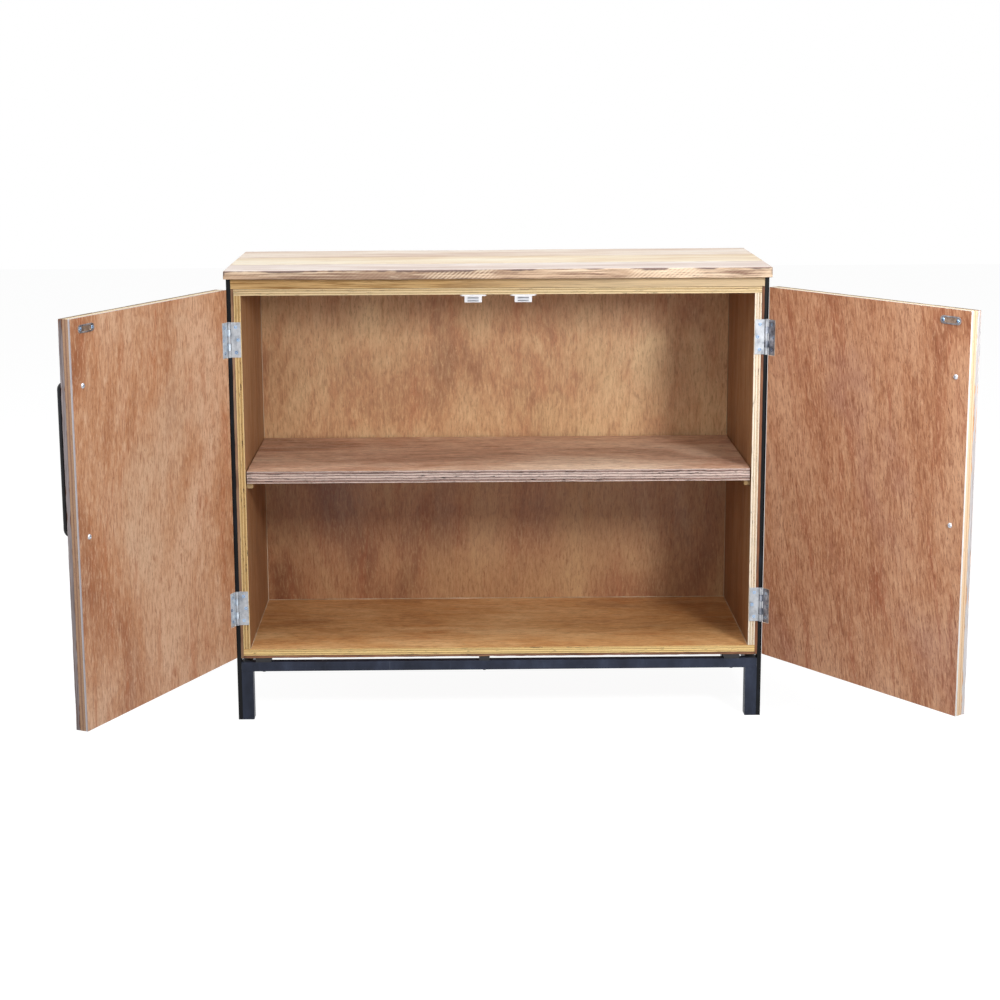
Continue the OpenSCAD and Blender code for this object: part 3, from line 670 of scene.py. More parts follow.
def piece(name, bm, mats, body, nodes=(), matrix=None, weighted=True, sharp=40, recalc=True):
    bmesh.ops.remove_doubles(bm, verts=bm.verts, dist=2e-6)
    bmesh.ops.dissolve_degenerate(bm, edges=bm.edges, dist=1e-7)
    if recalc:
        bmesh.ops.recalc_face_normals(bm, faces=bm.faces)
    for e in bm.edges:
        if len(e.link_faces) == 2 and e.calc_face_angle(0) > math.radians(sharp):
            e.smooth = False
    me = bpy.data.meshes.new(name)
    bm.to_mesh(me)
    bm.free()
    for m in (mats if isinstance(mats, (list, tuple)) else [mats]):
        me.materials.append(m)
    o = bpy.data.objects.new(name, me)
    scene.collection.objects.link(o)
    if matrix is not None:
        o.matrix_world = matrix
    if weighted:
        w = o.modifiers.new('normals', 'WEIGHTED_NORMAL')
        w.keep_sharp = True
        w.weight = 60
    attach(o, body)
    if nodes:
        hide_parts(*nodes)
    return o


def dress(node, mat, bevel=0.0, segs=2, weld=True):
    """A CAD node that stays: new finish, and softened edges."""
    o = NODES[node]
    o.data.materials.clear()
    o.data.materials.append(mat)
    if bevel:
        w = o.modifiers.new('weld', 'WELD')
        w.merge_threshold = 2e-5
        b = o.modifiers.new('edges', 'BEVEL')
        b.width = bevel * MM
        b.segments = segs
        b.limit_method = 'ANGLE'
        b.angle_limit = math.radians(35)
        b.harden_normals = False
        n = o.modifiers.new('normals', 'WEIGHTED_NORMAL')
        n.weight = 60


# ---------------------------------------------------------------- finishes
M = {}
# door skins: salmon-tan rotary veneer, the right one deeper in colour; the difference between the two skins is partly
# their own tone and partly painted light and shade
M['skin_l'] = veneer('door_veneer_left', 'z', C(160, 98, 64), C(206, 146, 106), C(238, 192, 158), C(186, 108, 66),
                     seed=1.0, tilt=0.03, figure=0.10, pores=0.75, mottle=1.15, con=1.3,
                     patch=C(232, 196, 164), patch_amt=0.45)
M['skin_r'] = veneer('door_veneer_right', 'z', C(138, 78, 50), C(190, 130, 94), C(222, 170, 134), C(160, 84, 54),
                     seed=7.0, tilt=-0.14, figure=0.14, pores=0.85, mottle=1.2, con=1.4,
                     patch=C(176, 124, 104), patch_amt=0.55)
# The door edges (skin, core and facing) have separate left and right finishes; their difference in colour is partly
# their own tone and partly painted light and shade.
M['skin_edge_l'] = ply_edge('door_skin_edge_left', 'y', 'z', -5.3, 4.0, 2, C(226, 220, 222), C(206, 198, 202), C(150, 138, 142), seed=2.0, void_painted_shade=0.15, wob=0.1)
M['skin_edge_r'] = ply_edge('door_skin_edge_right', 'y', 'z', -5.3, 4.0, 2, C(240, 238, 236), C(226, 222, 220), C(170, 160, 156), seed=2.5, void_painted_shade=0.1, wob=0.1)
M['core_edge_l'] = ply_edge('door_core_edge_left', 'y', 'z', -16.3, 11.0, 3, C(204, 172, 126), C(176, 142, 104), C(118, 98, 88), seed=3.0, void_painted_shade=0.35, wob=0.3, streaky=1.0, lines=0.45)
M['core_edge_r'] = ply_edge('door_core_edge_right', 'y', 'z', -16.3, 11.0, 3, C(246, 222, 178), C(236, 204, 156), C(188, 150, 118), seed=3.6, void_painted_shade=0.25, wob=0.25, lines=0.5)
M['core_edge_x'] = ply_edge('door_core_end', 'y', 'x', -16.3, 11.0, 4, C(240, 226, 196), C(228, 206, 166), C(170, 138, 108), seed=4.0, void_painted_shade=0.35, lines=0.4)
M['core_face'] = veneer('door_core_face', 'z', C(150, 104, 66), C(190, 146, 98), C(214, 176, 128), C(160, 104, 62), seed=12.0)
M['facing_edge_l'] = solid_wood('facing_edge_left', 'z', C(104, 92, 92), C(176, 166, 162), C(226, 222, 220), seed=5.0, rings=0.5,
                                wash=C(226, 224, 224), wash_amt=0.45, worn=C(150, 108, 84), rough=0.75, fine=1.5)
M['facing_edge_r'] = solid_wood('facing_edge_right', 'z', C(120, 104, 98), C(204, 200, 198), C(238, 236, 234), seed=5.7, rings=0.45,
                                wash=C(240, 240, 240), wash_amt=0.6, worn=C(226, 160, 104), rough=0.75, fine=1.3)
FACING = [
    solid_wood('facing_plank_grey', 'z', C(112, 92, 76), C(158, 134, 112), C(190, 168, 146), seed=21, rings=0.55, wash=C(214, 206, 196), wash_amt=0.35, worn=C(128, 88, 60), knots=0.5, saw=0.5),
    solid_wood('facing_plank_brown', 'z', C(104, 66, 42), C(150, 104, 70), C(184, 138, 100), seed=22, rings=0.6, wash=C(200, 186, 170), wash_amt=0.14, worn=C(108, 70, 46), knots=0.7),
    solid_wood('facing_plank_tan', 'z', C(134, 98, 66), C(178, 138, 98), C(208, 172, 132), seed=23, rings=0.55, wash=C(214, 204, 190), wash_amt=0.2, worn=C(124, 84, 56), knots=0.4, saw=0.6),
    solid_wood('facing_plank_washed', 'z', C(140, 122, 106), C(188, 172, 154), C(216, 204, 190), seed=24, rings=0.4, wash=C(228, 224, 216), wash_amt=0.6, worn=C(138, 98, 68), knots=0.3),
    solid_wood('facing_plank_red', 'z', C(98, 58, 38), C(142, 92, 62), C(172, 122, 86), seed=25, rings=0.55, wash=C(196, 180, 164), wash_amt=0.18, worn=C(110, 72, 50), knots=0.6),
]
M['facing_end'] = end_grain('facing_end_grain', C(108, 84, 66), C(182, 160, 138), seed=2)
# top
TOPS = {
    'front': solid_wood('top_board_face_front', 'x', C(182, 148, 128), C(226, 204, 186), C(246, 232, 218), seed=31, rings=0.42,
                        wash=C(244, 236, 228), wash_amt=0.28, worn=C(168, 140, 126), rough=0.6, knots=0.3, fine=1.3),
    'middle': solid_wood('top_board_face_middle', 'x', C(200, 158, 112), C(236, 210, 172), C(250, 234, 206), seed=33, rings=0.42,
                         wash=C(250, 240, 222), wash_amt=0.25, worn=C(176, 138, 112), rough=0.6, knots=0.3, fine=1.3),
    'back': solid_wood('top_board_face_back', 'x', C(192, 152, 124), C(232, 206, 178), C(248, 230, 208), seed=35, rings=0.42,
                       wash=C(248, 238, 224), wash_amt=0.25, worn=C(176, 138, 112), rough=0.6, knots=0.3, fine=1.3),
}
M['top_edge'] = solid_wood('top_board_edge', 'x', C(128, 94, 76), C(198, 160, 130), C(238, 208, 178), seed=32, rings=0.6,
                           saw=1.2, saw_at=[(-0.135, -0.01), (0.24, 0.37)], worn=C(104, 82, 74), rough=0.68, fine=2.0)
M['top_end'] = end_grain('top_end_grain', C(142, 108, 84), C(206, 172, 140), seed=4)
M['batten'] = solid_wood('batten_softwood', 'x', C(150, 112, 62), C(194, 154, 96), C(220, 186, 132), seed=41, rings=0.5, rough=0.55,
                         knots=0.3, fine=2.0, pale_right=C(212, 192, 158))
M['batten_end'] = end_grain('batten_end_grain', C(150, 110, 64), C(204, 164, 110), seed=6)
# box
# The back and side veneers are darkened below the shelf: painted shade.
M['back'] = veneer('back_veneer', 'z', C(140, 84, 50), C(192, 136, 94), C(222, 180, 132), C(176, 102, 64), seed=15.0, figure=0.10,
                   pores=0.5, mottle=0.7, patch=C(214, 172, 122), patch_amt=0.4, spec=0.55, rough=0.46, coat=0.22, painted_shade_below=(0.66, 0.57, 0.52, 1), con=0.95)
M['side'] = veneer('side_veneer', 'z', C(132, 84, 48), C(168, 116, 72), C(190, 142, 96), C(150, 92, 52), seed=17.0, figure=0.15, pores=0.4, mottle=0.5,
                   painted_shade_below=(0.90, 0.88, 0.88, 1))
M['ceil'] = veneer('ceiling_veneer', 'x', C(132, 84, 48), C(168, 116, 72), C(190, 142, 96), C(150, 92, 52), seed=18.0, figure=0.15)
M['floor'] = veneer('floor_veneer', 'x', C(128, 76, 38), C(192, 134, 80), C(220, 172, 118), C(172, 94, 42), seed=19.0, figure=0.25,
                    pores=0.4, mottle=0.5, patch=C(176, 116, 62), patch_amt=0.5, coat=0.10)
M['shelf_face'] = veneer('shelf_veneer', 'x', C(112, 74, 56), C(188, 140, 108), C(228, 188, 154), C(146, 86, 56), seed=20.0, figure=0.22,
                         pores=0.4, mottle=0.5, patch=C(172, 116, 80), patch_amt=0.45)
PALE, TAN, GLUE = C(232, 212, 166), C(202, 166, 112), C(112, 86, 62)
# The left and right side edges differ in colour partly by their own tone and partly as painted light and shade.
M['side_edge_l'] = ply_edge('side_ply_edge_left', 'x', 'z', -485, 13, 5, C(224, 198, 148), C(190, 152, 98), GLUE, seed=51, void_painted_shade=1.0, lines=0.32, wob=0.22, streaky=0.9)
M['side_edge_r'] = ply_edge('side_ply_edge_right', 'x', 'z', 472, 13, 5, C(240, 224, 196), C(220, 190, 152), GLUE, seed=52, void_painted_shade=0.75, lines=0.30, wob=0.22, streaky=0.7)
M['ceil_edge'] = ply_edge('ceiling_ply_edge', 'z', 'x', 809, 12, 5, C(236, 216, 176), C(208, 178, 130), C(132, 108, 100), seed=53, void_painted_shade=0.6, lines=0.6, wob=0.2)
M['floor_edge'] = ply_edge('floor_ply_edge', 'z', 'x', 126, 13, 6, C(228, 200, 146), C(196, 156, 104), C(104, 84, 68), seed=54, void_painted_shade=0.7, wob=0.24, lines=0.7)
M['edge_side'] = ply_edge('ply_edge_end', 'z', 'y', 126, 13, 7, PALE, TAN, GLUE, seed=55)
M['shelf_edge'] = ply_edge('shelf_ply_edge', 'z', 'x', 457, 23, 9, C(216, 202, 196), C(156, 132, 124), C(44, 30, 30), seed=56, void_painted_shade=1.0, wob=0.38, streaky=1.0, lines=1.0, lw=0.34)
M['shelf_end'] = ply_edge('shelf_ply_end', 'z', 'y', 457, 23, 9, C(222, 202, 182), C(190, 166, 148), C(104, 82, 72), seed=57, void_painted_shade=0.5)
M['clad'] = [
    solid_wood('cladding_plank_brown', 'z', C(96, 64, 44), C(146, 106, 76), C(178, 138, 104), seed=61, rings=0.55, worn=C(104, 70, 50), knots=0.5, wash=C(190, 176, 160), wash_amt=0.16),
    solid_wood('cladding_plank_grey', 'z', C(112, 94, 80), C(156, 136, 116), C(186, 168, 148), seed=62, rings=0.5, worn=C(120, 88, 64), knots=0.4, wash=C(208, 200, 190), wash_amt=0.4),
    solid_wood('cladding_plank_red', 'z', C(92, 54, 36), C(140, 92, 64), C(170, 122, 90), seed=63, rings=0.6, worn=C(100, 66, 48), knots=0.6),
    solid_wood('cladding_plank_tan', 'z', C(126, 92, 62), C(172, 134, 96), C(202, 166, 128), seed=64, rings=0.5, worn=C(118, 82, 56), knots=0.5, saw=0.5),
]
M['clad_end'] = end_grain('cladding_end_grain', C(92, 64, 48), C(160, 120, 90), seed=8)
M['clad_bottom'] = solid_wood('bottom_cladding_wood', 'x', C(92, 58, 44), C(150, 106, 78), C(182, 140, 106), seed=65, rings=0.5, worn=C(96, 68, 54), rough=0.7)
M['bead'] = solid_wood('corner_glue_line', 'z', C(150, 128, 104), C(196, 176, 150), C(222, 206, 184), seed=66, rings=0.1, rough=0.6, fine=0.7)
M['cleat'] = solid_wood('cleat_softwood', 'y', C(176, 140, 96), C(216, 186, 144), C(232, 208, 170), seed=67, rings=0.35)
M['sliver'] = solid_wood('mortise_edge_fibres', 'z', C(176, 146, 116), C(222, 204, 182), C(238, 226, 210), seed=68, rings=0.1, rough=0.7)
# metal and plastic
# The posts get a near-black copy of the frame's blue-black coating: partly the posts' own black, partly painted shade.
M['post'] = coated_iron('iron_black_post', C(14, 15, 18), C(34, 40, 52), C(6, 6, 8), rough=0.36, seed=1, spec=0.16)
M['rail'] = coated_iron('iron_blue_black', C(48, 54, 70), C(70, 78, 98), C(30, 34, 46), rough=0.45, seed=2, spec=0.2)
# The weld beads' near-white patches are partly bare weld metal and partly a painted highlight.
M['weld'] = coated_iron('iron_weld', C(54, 58, 68), C(176, 178, 182), C(28, 30, 36), rough=0.34, seed=3)
M['tab'] = coated_iron('iron_tab', C(30, 30, 34), C(48, 48, 54), C(16, 16, 18), rough=0.6, seed=4)
M['handle'] = coated_iron('handle_black', C(12, 13, 17), C(30, 36, 50), C(5, 5, 7), rough=0.32, seed=5, spec=0.3)
M['plug'] = plastic('foot_plug_black', C(22, 22, 24), C(34, 34, 36), rough=0.55)
M['blackscrew'] = plated('screw_blackened', C(46, 47, 52), C(22, 22, 26), C(86, 88, 94), rough=0.4, metal=0.9, seed=6)
M['zinc_f'] = plated('zinc_leaf_bright', C(186, 190, 196), C(140, 146, 156), C(216, 220, 226), rough=0.42, metal=0.6, seed=7)
# The door leaves have a light left copy and a dark right copy of one zinc finish: the difference is partly their own
# tone and partly painted light and shade.
M['zinc_dl'] = plated('zinc_leaf_left', C(190, 196, 206), C(140, 148, 160), C(222, 226, 232), rough=0.40, metal=0.6, seed=8)
M['zinc_dr'] = plated('zinc_leaf_right', C(118, 120, 128), C(70, 72, 82), C(186, 190, 198), rough=0.36, metal=0.8, seed=9)
M['pin'] = plated('pin_steel', C(170, 172, 178), C(118, 120, 126), C(210, 212, 216), rough=0.32, metal=0.9, seed=10)
M['screw'] = plated('screw_bright', C(146, 178, 212), C(88, 118, 160), C(200, 222, 244), rough=0.24, metal=0.85, seed=11)
M['dome'] = plated('dome_head_bright', C(206, 212, 222), C(136, 146, 162), C(244, 248, 252), rough=0.3, metal=0.55, seed=12)
M['strike_rim'] = plated('strike_rim', C(150, 154, 162), C(84, 88, 98), C(206, 210, 216), rough=0.34, metal=0.8, seed=13, brush='x')
M['strike_in'] = plated('strike_plate', C(142, 120, 104), C(92, 74, 62), C(186, 170, 156), rough=0.4, metal=0.6, seed=14, brush='x')
M['catch'] = plastic('catch_white', C(244, 245, 248), C(222, 224, 232), rough=0.35)
M['pole'] = plated('catch_pole_steel', C(120, 122, 128), C(82, 84, 90), C(168, 170, 176), rough=0.35, metal=0.85, seed=15, brush='x')
M['magnet'] = plastic('catch_magnet_cover', C(222, 224, 230), C(196, 198, 206), rough=0.5)
M['nail'] = plated('nail_steel', C(140, 142, 148), C(96, 98, 102), C(182, 184, 188), rough=0.4, metal=0.85, seed=16)
M['hidden'] = veneer('panel_back_raw', 'z', C(140, 100, 64), C(182, 140, 98), C(206, 168, 124), C(156, 104, 66), seed=26.0)

# ---------------------------------------------------------------- iron frame
for s in ('left', 'right'):
    dress('post_front_' + s, M['post'], 0.5)
    dress('post_back_' + s, M['post'], 0.5)
    dress('leg_front_' + s, M['rail'], 0.5)
    dress('leg_back_' + s, M['rail'], 0.5)
for n in ('rail_front', 'rail_back', 'rail_left', 'rail_right'):
    dress(n, M['rail'], 0.6)
dress('spacer_tabs', M['tab'], 0.4)
dress('leg_plugs', M['plug'], 0.5)
dress('hinge_pins', M['pin'], 0.15)
dress('catch_plates', M['pole'], 0.15)
dress('catch_magnets', M['magnet'], 0.2)
dress('back_panel_nails', M['nail'])
dress('cleat_screws', M['screw'])
dress('catch_screws', M['screw'])
dress('top_screws', M['screw'])

# weld beads where the rails meet the posts and legs
bm = bmesh.new()


def bead(bm, a, b, r, seed):
    a, b = Vector(a), Vector(b)
    n = max(6, int((b - a).length / 1.1))
    pts, rads = [], []
    for i in range(n + 1):
        t = i / n
        p = a.lerp(b, t)
        wob = nz(p, 0.9, seed)
        ends = min(1.0, min(t, 1 - t) * 6 + 0.35)
        pts.append(p)
        rads.append(r * ends * (0.86 + 0.22 * abs(math.sin(i * 1.35)) + 0.22 * wob))
    tube(bm, pts, rads, seg=10)


for sx in (-1, 1):
    for y in (YF + 0.9, -YF - 0.9):
        bead(bm, (sx * 489.6, y, 95.6), (sx * 489.6, y, 112.0), 0.9, 1 + sx)
    for y0, y1 in ((YF + 1, YF + 18), (-YF - 18, -YF - 1)):
        bead(bm, (sx * 489.4, y0, 112.3), (sx * 489.4, y1, 112.3), 1.2, 3 + sx)
        bead(bm, (sx * 468.4, y0, 95.0), (sx * 468.4, y1, 95.0), 1.0, 5 + sx)
    bead(bm, (sx * 471, YF + 20.4, 97), (sx * 471, YF + 20.4, 111), 1.1, 7)
    bead(bm, (sx * 471, -YF - 20.4, 97), (sx * 471, -YF - 20.4, 111), 1.1, 9)
piece('weld_beads', bm, M['weld'], 'cabinet', weighted=False)

# screws through the posts and under the rails
bm = bmesh.new()
for sx in (-1, 1):
    for y in (YF + 12.5, -YF - 12.5):
        for z in (300, 470, 640):
            screw(bm, (sx * 498, y, z), (sx, 0, 0), head=4.0, depth=2.1, length=23, shank=2.0, turn=0.2 + 0.7 * nz((y, z, sx), 0.1))
piece('post_screw_set', bm, M['blackscrew'], 'cabinet', ['post_screws'], weighted=False)
bm = bmesh.new()
for y in (YF + 10, -YF - 10):
    for x in (-448, -29, 442):
        screw(bm, (x, y, 93.6), (0, 0, -1), head=4.0, depth=0.1, length=40, shank=2.0, dome=2.0, turn=0.5 * x)
        revolve(bm, [(0, 1.5), (4.0, 1.5), (4.0, 0.0), (0, 0.0)], (x, y, 93.5), (0, 0, 1), 36)
piece('frame_screw_set', bm, M['blackscrew'], 'cabinet', ['frame_screws'], weighted=False)

# ---------------------------------------------------------------- top
def lerp(a, b, t):
    return a + (b - a) * t


def top_warp(front):
    def f(p):
        x, y, z = p
        t = (x + 500) / 1000
        up = (z - 840) / 17
        slow = nz((x, y * 0.3, 0), 0.006, 2.0)
        z += up * (lerp(-0.6, 2.0, t) + 0.5 * slow) + (1 - up) * (lerp(1.6, -0.0, min(1, t * 4.0)))
        if front and y < -214:
            y += (0.25 + 0.75 * up) * (1.1 * max(0.0, nz((x, 0, z * 3), 0.012, 4.0)) + 0.5 * abs(nz((x, 0, z), 0.09, 9.0)))
        return (x, y, z)
    return f


def front_wear(p):
    """Front board: worn along the upper front edge, most in the left half."""
    up = 1.0 if p[2] > 848 and p[1] < -208 else 0.3
    lft = 1.5 if -430 < p[0] < -20 else 0.8
    return up * lft


TB = [('front', -218, -96), ('middle', -95.5, 48), ('back', 48.5, 192)]
for i, (nm, y0, y1) in enumerate(TB):
    bm = bmesh.new()
    grid_box(bm, (-500, y0, 840), (500, y1, 857), r=3.2 if i == 0 else 1.3, rmin=0.7 if i == 0 else 0.4,
             step=(5.0 if i == 0 else 12.0, 9, 3.0), seed=30 + i, wscale=0.02 if i == 0 else 0.03,
             warp=top_warp(i == 0), mats=(2, 2, 1, 1, 1, 0), wear_on=front_wear if i == 0 else None)
    piece('top_plank_' + nm, bm, [TOPS[nm], M['top_edge'], M['top_end']], 'cabinet', ['top_board_' + nm])

for nm, y0, y1 in (('front', YF, YF + 42), ('back', 142, 184)):
    bm = bmesh.new()
    grid_box(bm, (-490, y0, 821.3), (490, y1, 839.9), r=1.0, rmin=0.35, step=(14, 12, 5), seed=41, mats=(1, 1, 0, 0, 0, 0))
    piece('top_batten_' + nm, bm, [M['batten'], M['batten_end']], 'cabinet', ['batten_' + nm])
bm = bmesh.new()
for sx in (-1, 1):
    x0, x1 = sorted((sx * 450, sx * 490))
    grid_box(bm, (x0, -149.8, 821.3), (x1, 141.8, 839.9), r=0.9, rmin=0.4, step=(12, 14, 6), seed=43 + sx, mats=(0, 0, 1, 1, 0, 0))
b2 = solid_wood('batten_softwood_side', 'y', C(178, 132, 78), C(208, 168, 112), C(226, 192, 140), seed=42, rings=0.45, rough=0.55)
piece('top_battens_end', bm, [b2, M['batten_end']], 'cabinet', ['battens_end'])

# ---------------------------------------------------------------- box
bm = bmesh.new()
grid_box(bm, (-485, YF, 809), (485, 184, 820.9), r=0.7, rmin=0.25, step=(8, 30, 3), seed=50, mats=(1, 1, 1, 1, 0, 0),
         warp=lambda p: (p[0], p[1] + (0.5 * max(0, nz((p[0], 0, p[2] * 5), 0.05, 3)) if p[1] < YF + 1 else 0), p[2]))
piece('box_ceiling', bm, [M['ceil'], M['ceil_edge']], 'cabinet', ['ceiling_panel'])
bm = bmesh.new()
grid_box(bm, (-485, YF, 126.05), (485, 184, 139), r=0.8, rmin=0.25, step=(8, 30, 3), seed=51, mats=(1, 1, 1, 1, 0, 0),
         warp=lambda p: (p[0], p[1] + (0.7 * max(0, nz((p[0], 0, p[2] * 5), 0.05, 6)) if p[1] < YF + 1 else 0), p[2]))
piece('box_floor', bm, [M['floor'], M['floor_edge']], 'cabinet', ['floor_panel'])
bm = bmesh.new()


def ragged(p):
    x, y, z = p
    if y < YF + 3:
        y += 1.6 * max(0.0, nz((x, 0, z), 0.03, 2)) + 0.9 * max(0.0, nz((x, 0, z), 0.11, 8))
        if z < 123:
            z += 0.9 * max(0.0, nz((x, 0, 0), 0.05, 12)) + 0.5 * max(0.0, nz((x, 0, 0), 0.16, 15))
    return (x, y, z)


grid_box(bm, (-485, YF, 121), (485, 184, 125.95), r=1.2, rmin=0.3, step=(4, 30, 2), seed=52, warp=ragged)
piece('box_bottom_cladding', bm, [M['clad_bottom']], 'cabinet', ['bottom_cladding'])
for sx in (-1, 1):
    x0, x1 = sorted((sx * 472, sx * 485))
    bm = bmesh.new()
    grid_box(bm, (x0, YF, 139.05), (x1, 184, 808.95), r=0.7, rmin=0.25, step=(3, 30, 8), seed=53 + sx, mats=(0, 0, 1, 1, 1, 1),
             warp=lambda p: (p[0], p[1] + (0.5 * max(0, nz((p[0] * 5, 0, p[2]), 0.05, 3)) if p[1] < YF + 1 else 0), p[2]))
    piece('box_side_' + SIDE[sx], bm, [M['side'], M['side_edge_l' if sx < 0 else 'side_edge_r']], 'cabinet',
          ['side_panel_' + SIDE[sx]])
    bm = bmesh.new()
    w = 382.5 / 4
    for i in range(4):
        a, b = sorted((sx * 485.05, sx * (490 - (i % 2) * 0.6)))
        grid_box(bm, (a, YF + i * w, 121), (b, YF + (i + 1) * w - 0.5, 821), r=1.1, rmin=0.3, step=(3, 16, 9), seed=70 + i + sx,
                 mats=(i, i, i, i, 4, 4))
    order = M['clad'] if sx < 0 else [M['clad'][k] for k in (2, 3, 0, 1)]
    piece('side_planks_' + SIDE[sx], bm, list(order) + [M['clad_end']], 'cabinet', ['side_cladding_' + SIDE[sx]])
bm = bmesh.new()
grid_box(bm, (-485, 184.05, 121), (485, 190, 821), r=0.6, rmin=0.3, step=(30, 3, 30), seed=57, mats=(2, 2, 0, 1, 2, 2))
piece('box_back', bm, [M['back'], M['hidden'], M['edge_side']], 'cabinet', ['back_panel'])

# glue lines in the inner corners
bm = bmesh.new()


def corner(bm, a, b, r, seed):
    a, b = Vector(a), Vector(b)
    n = max(8, int((b - a).length / 9))
    pts, rads = [], []
    for i in range(n + 1):
        p = a.lerp(b, i / n)
        pts.append(p)
        rads.append(r * (0.85 + 0.5 * nz(p, 0.04, seed)))
    tube(bm, pts, rads, seg=8)


for sx in (-1, 1):
    corner(bm, (sx * 471.6, 183.6, 140), (sx * 471.6, 183.6, 455), 1.0, 3)
    corner(bm, (sx * 471.6, 183.6, 482), (sx * 471.6, 183.6, 808), 1.0, 4)
    corner(bm, (sx * 471.6, YF + 6, 139.2), (sx * 471.6, 183, 139.2), 0.9, 5)
corner(bm, (-471, 183.6, 139.3), (471, 183.6, 139.3), 1.0, 6)
piece('corner_glue_lines', bm, M['bead'], 'cabinet', weighted=False)

# ---------------------------------------------------------------- shelf
LAYERS = 9


def shelf_warp(p):
    x, y, z = p
    if y < -185:
        k = int((z - 457.001) / (23 / LAYERS))
        near = 1.0 + 1.6 * max(0.0, 1 - (x + 470) / 120)
        y += near * (0.55 * max(0.0, nz((x, k * 40.0, 0), 0.012, 1)) + 0.35 * max(0.0, nz((x, k * 31.0, 0), 0.06, 2)))
        y += 0.45 * (k % 2) * near * (0.5 + 0.5 * nz((x, k * 7.0, 0), 0.01, 3))
    z -= 1.2 * (1 - ((x) / 470.5) ** 2) * 0.0
    return (x, y, z)


bm = bmesh.new()
zz = []
for k in range(1, LAYERS):
    zc = 457 + k * 23 / LAYERS
    zz += [zc - 0.12, zc + 0.12]
grid_box(bm, (-470.5, -186, 457), (470.5, 176, 480), r=0.9, rmin=0.3, step=(5, 26, 2.6), extra=((), (), zz), seed=58,
         warp=shelf_warp, mats=(2, 2, 1, 1, 0, 0))
piece('shelf_board', bm, [M['shelf_face'], M['shelf_edge'], M['shelf_end']], 'cabinet', ['shelf'], sharp=50)
for sx in (-1, 1):
    x0, x1 = sorted((sx * 460, sx * 472))
    bm = bmesh.new()
    grid_box(bm, (x0, -180, 447), (x1, 164, 456.95), r=0.9, rmin=0.3, step=(5, 16, 5), seed=59 + sx)
    piece('shelf_support_' + SIDE[sx], bm, M['cleat'], 'cabinet', ['shelf_cleat_' + SIDE[sx]])

# ---------------------------------------------------------------- catches
bm = bmesh.new()


def stadium(hl, r, z, n=16):
    out = []
    for i in range(n + 1):
        a = -math.pi / 2 + math.pi * i / n
        out.append((hl + r * math.cos(a), r * math.sin(a), z))
    for i in range(n + 1):
        a = math.pi / 2 + math.pi * i / n
        out.append((-hl + r * math.cos(a), r * math.sin(a), z))
    return out


for s in (-1, 1):
    X, Z = s * 46, 801.5

    def cavity(p, X=X, Z=Z):
        x, y, z = p
        if abs(x - X) < 10.001 and Z - 4.501 < z < Z + 2.501 and y < YF + 3.9:
            y = YF + 4
        return (x, y, z)

    grid_box(bm, (X - 16, YF - 1, Z - 7), (X + 16, YF + 15, Z + 5), r=1.1, step=(6, 6, 3),
             extra=((X - 10.08, X - 10, X + 10, X + 10.08), (), (Z - 4.58, Z - 4.5, Z + 2.5, Z + 2.58)), warp=cavity)
    loft(bm, [[(X + a, YF + 7 + b, c) for a, b, c in stadium(17.6, 6.2, Z + 4.5)],
              [(X + a, YF + 7 + b, c) for a, b, c in stadium(17.4, 6.8, Z + 4.8)],
              [(X + a, YF + 7 + b, c) for a, b, c in stadium(17.2, 6.9, Z + 7.45)]])
    # a moulded rib across the front, under the flange
    grid_box(bm, (X - 15, YF - 1.5, Z + 3.2), (X + 15, YF - 0.6, Z + 4.3), r=0.35, step=(10, 2, 2))
piece('catch_housings', bm, M['catch'], 'cabinet', ['catch_bodies'], sharp=35)

# ---------------------------------------------------------------- hinges
def leaf(bm, s, y_in, door):
    """One leaf in hinge-local mm, its pin at the origin. door leaves lie on -y."""
    k = 65 / 5
    own = (1, 3) if door else (0, 2, 4)
    sy = -1 if door else 1
    a, b = sorted((sy * 2.1, sy * 3.3))
    x0, x1 = sorted((s * 3.35, s * 21))

    def dish(p):
        x, y, z = p
        return (x, y, z)

    for zc in HINGE_Z:
        grid_box(bm, (x0, a, zc - 32.5), (x1, b, zc + 32.5), r=0.28, step=(5, 1.2, 10), warp=dish)
        for i in own:
            z0 = zc - 32.5 + i * k + (0.1 if i == 0 else 0.18)
            z1 = zc - 32.5 + (i + 1) * k - (0.1 if i == 4 else 0.18)
            path = [(5.0, 2.7), (3.4, 2.7), (2.2, 2.66), (1.3, 2.52)]
            for t in range(66, 372, 14):
                path.append((2.27 * math.cos(math.radians(t)), 2.27 * math.sin(math.radians(t))))
            path = [(px, py * sy) for px, py in path]
            th = 0.58
            outer, inner = [], []
            for q, (px, py) in enumerate(path):
                p0 = path[max(0, q - 1)]
                p1 = path[min(len(path) - 1, q + 1)]
                tx, ty = p1[0] - p0[0], p1[1] - p0[1]
                ln = math.hypot(tx, ty)
                nx, ny = -ty / ln, tx / ln
                outer.append((px + nx * th, py + ny * th))
                inner.append((px - nx * th, py - ny * th))
            ring = outer + inner[::-1]
            cx = sum(p[0] for p in ring) / len(ring)
            rings = []
            n = len(outer)
            for z, shrink in ((z0, 0.16), (z0 + 0.16, 0.0), (z1 - 0.16, 0.0), (z1, 0.16)):
                rr = []
                for q in range(len(ring)):
                    w = q if q < n else 2 * n - 1 - q
                    mx, my = path[w]
                    f = 1 - shrink / th
                    rr.append((s * (mx + (ring[q][0] - mx) * f), my + (ring[q][1] - my) * f, z))
                rings.append(rr)
            vs = [[bm.verts.new(Vector(p) * MM) for p in rg] for rg in rings]
            m = len(ring)
            for A, B in zip(vs, vs[1:]):
                for q in range(m):
                    q2 = (q + 1) % m
                    f = bm.faces.new([A[q], A[q2], B[q2], B[q]])
                    f.smooth = True
            for A in (vs[0], vs[-1]):
                for q in range(n - 1):
                    bm.faces.new([A[q], A[q + 1], A[m - 2 - q], A[m - 1 - q]])


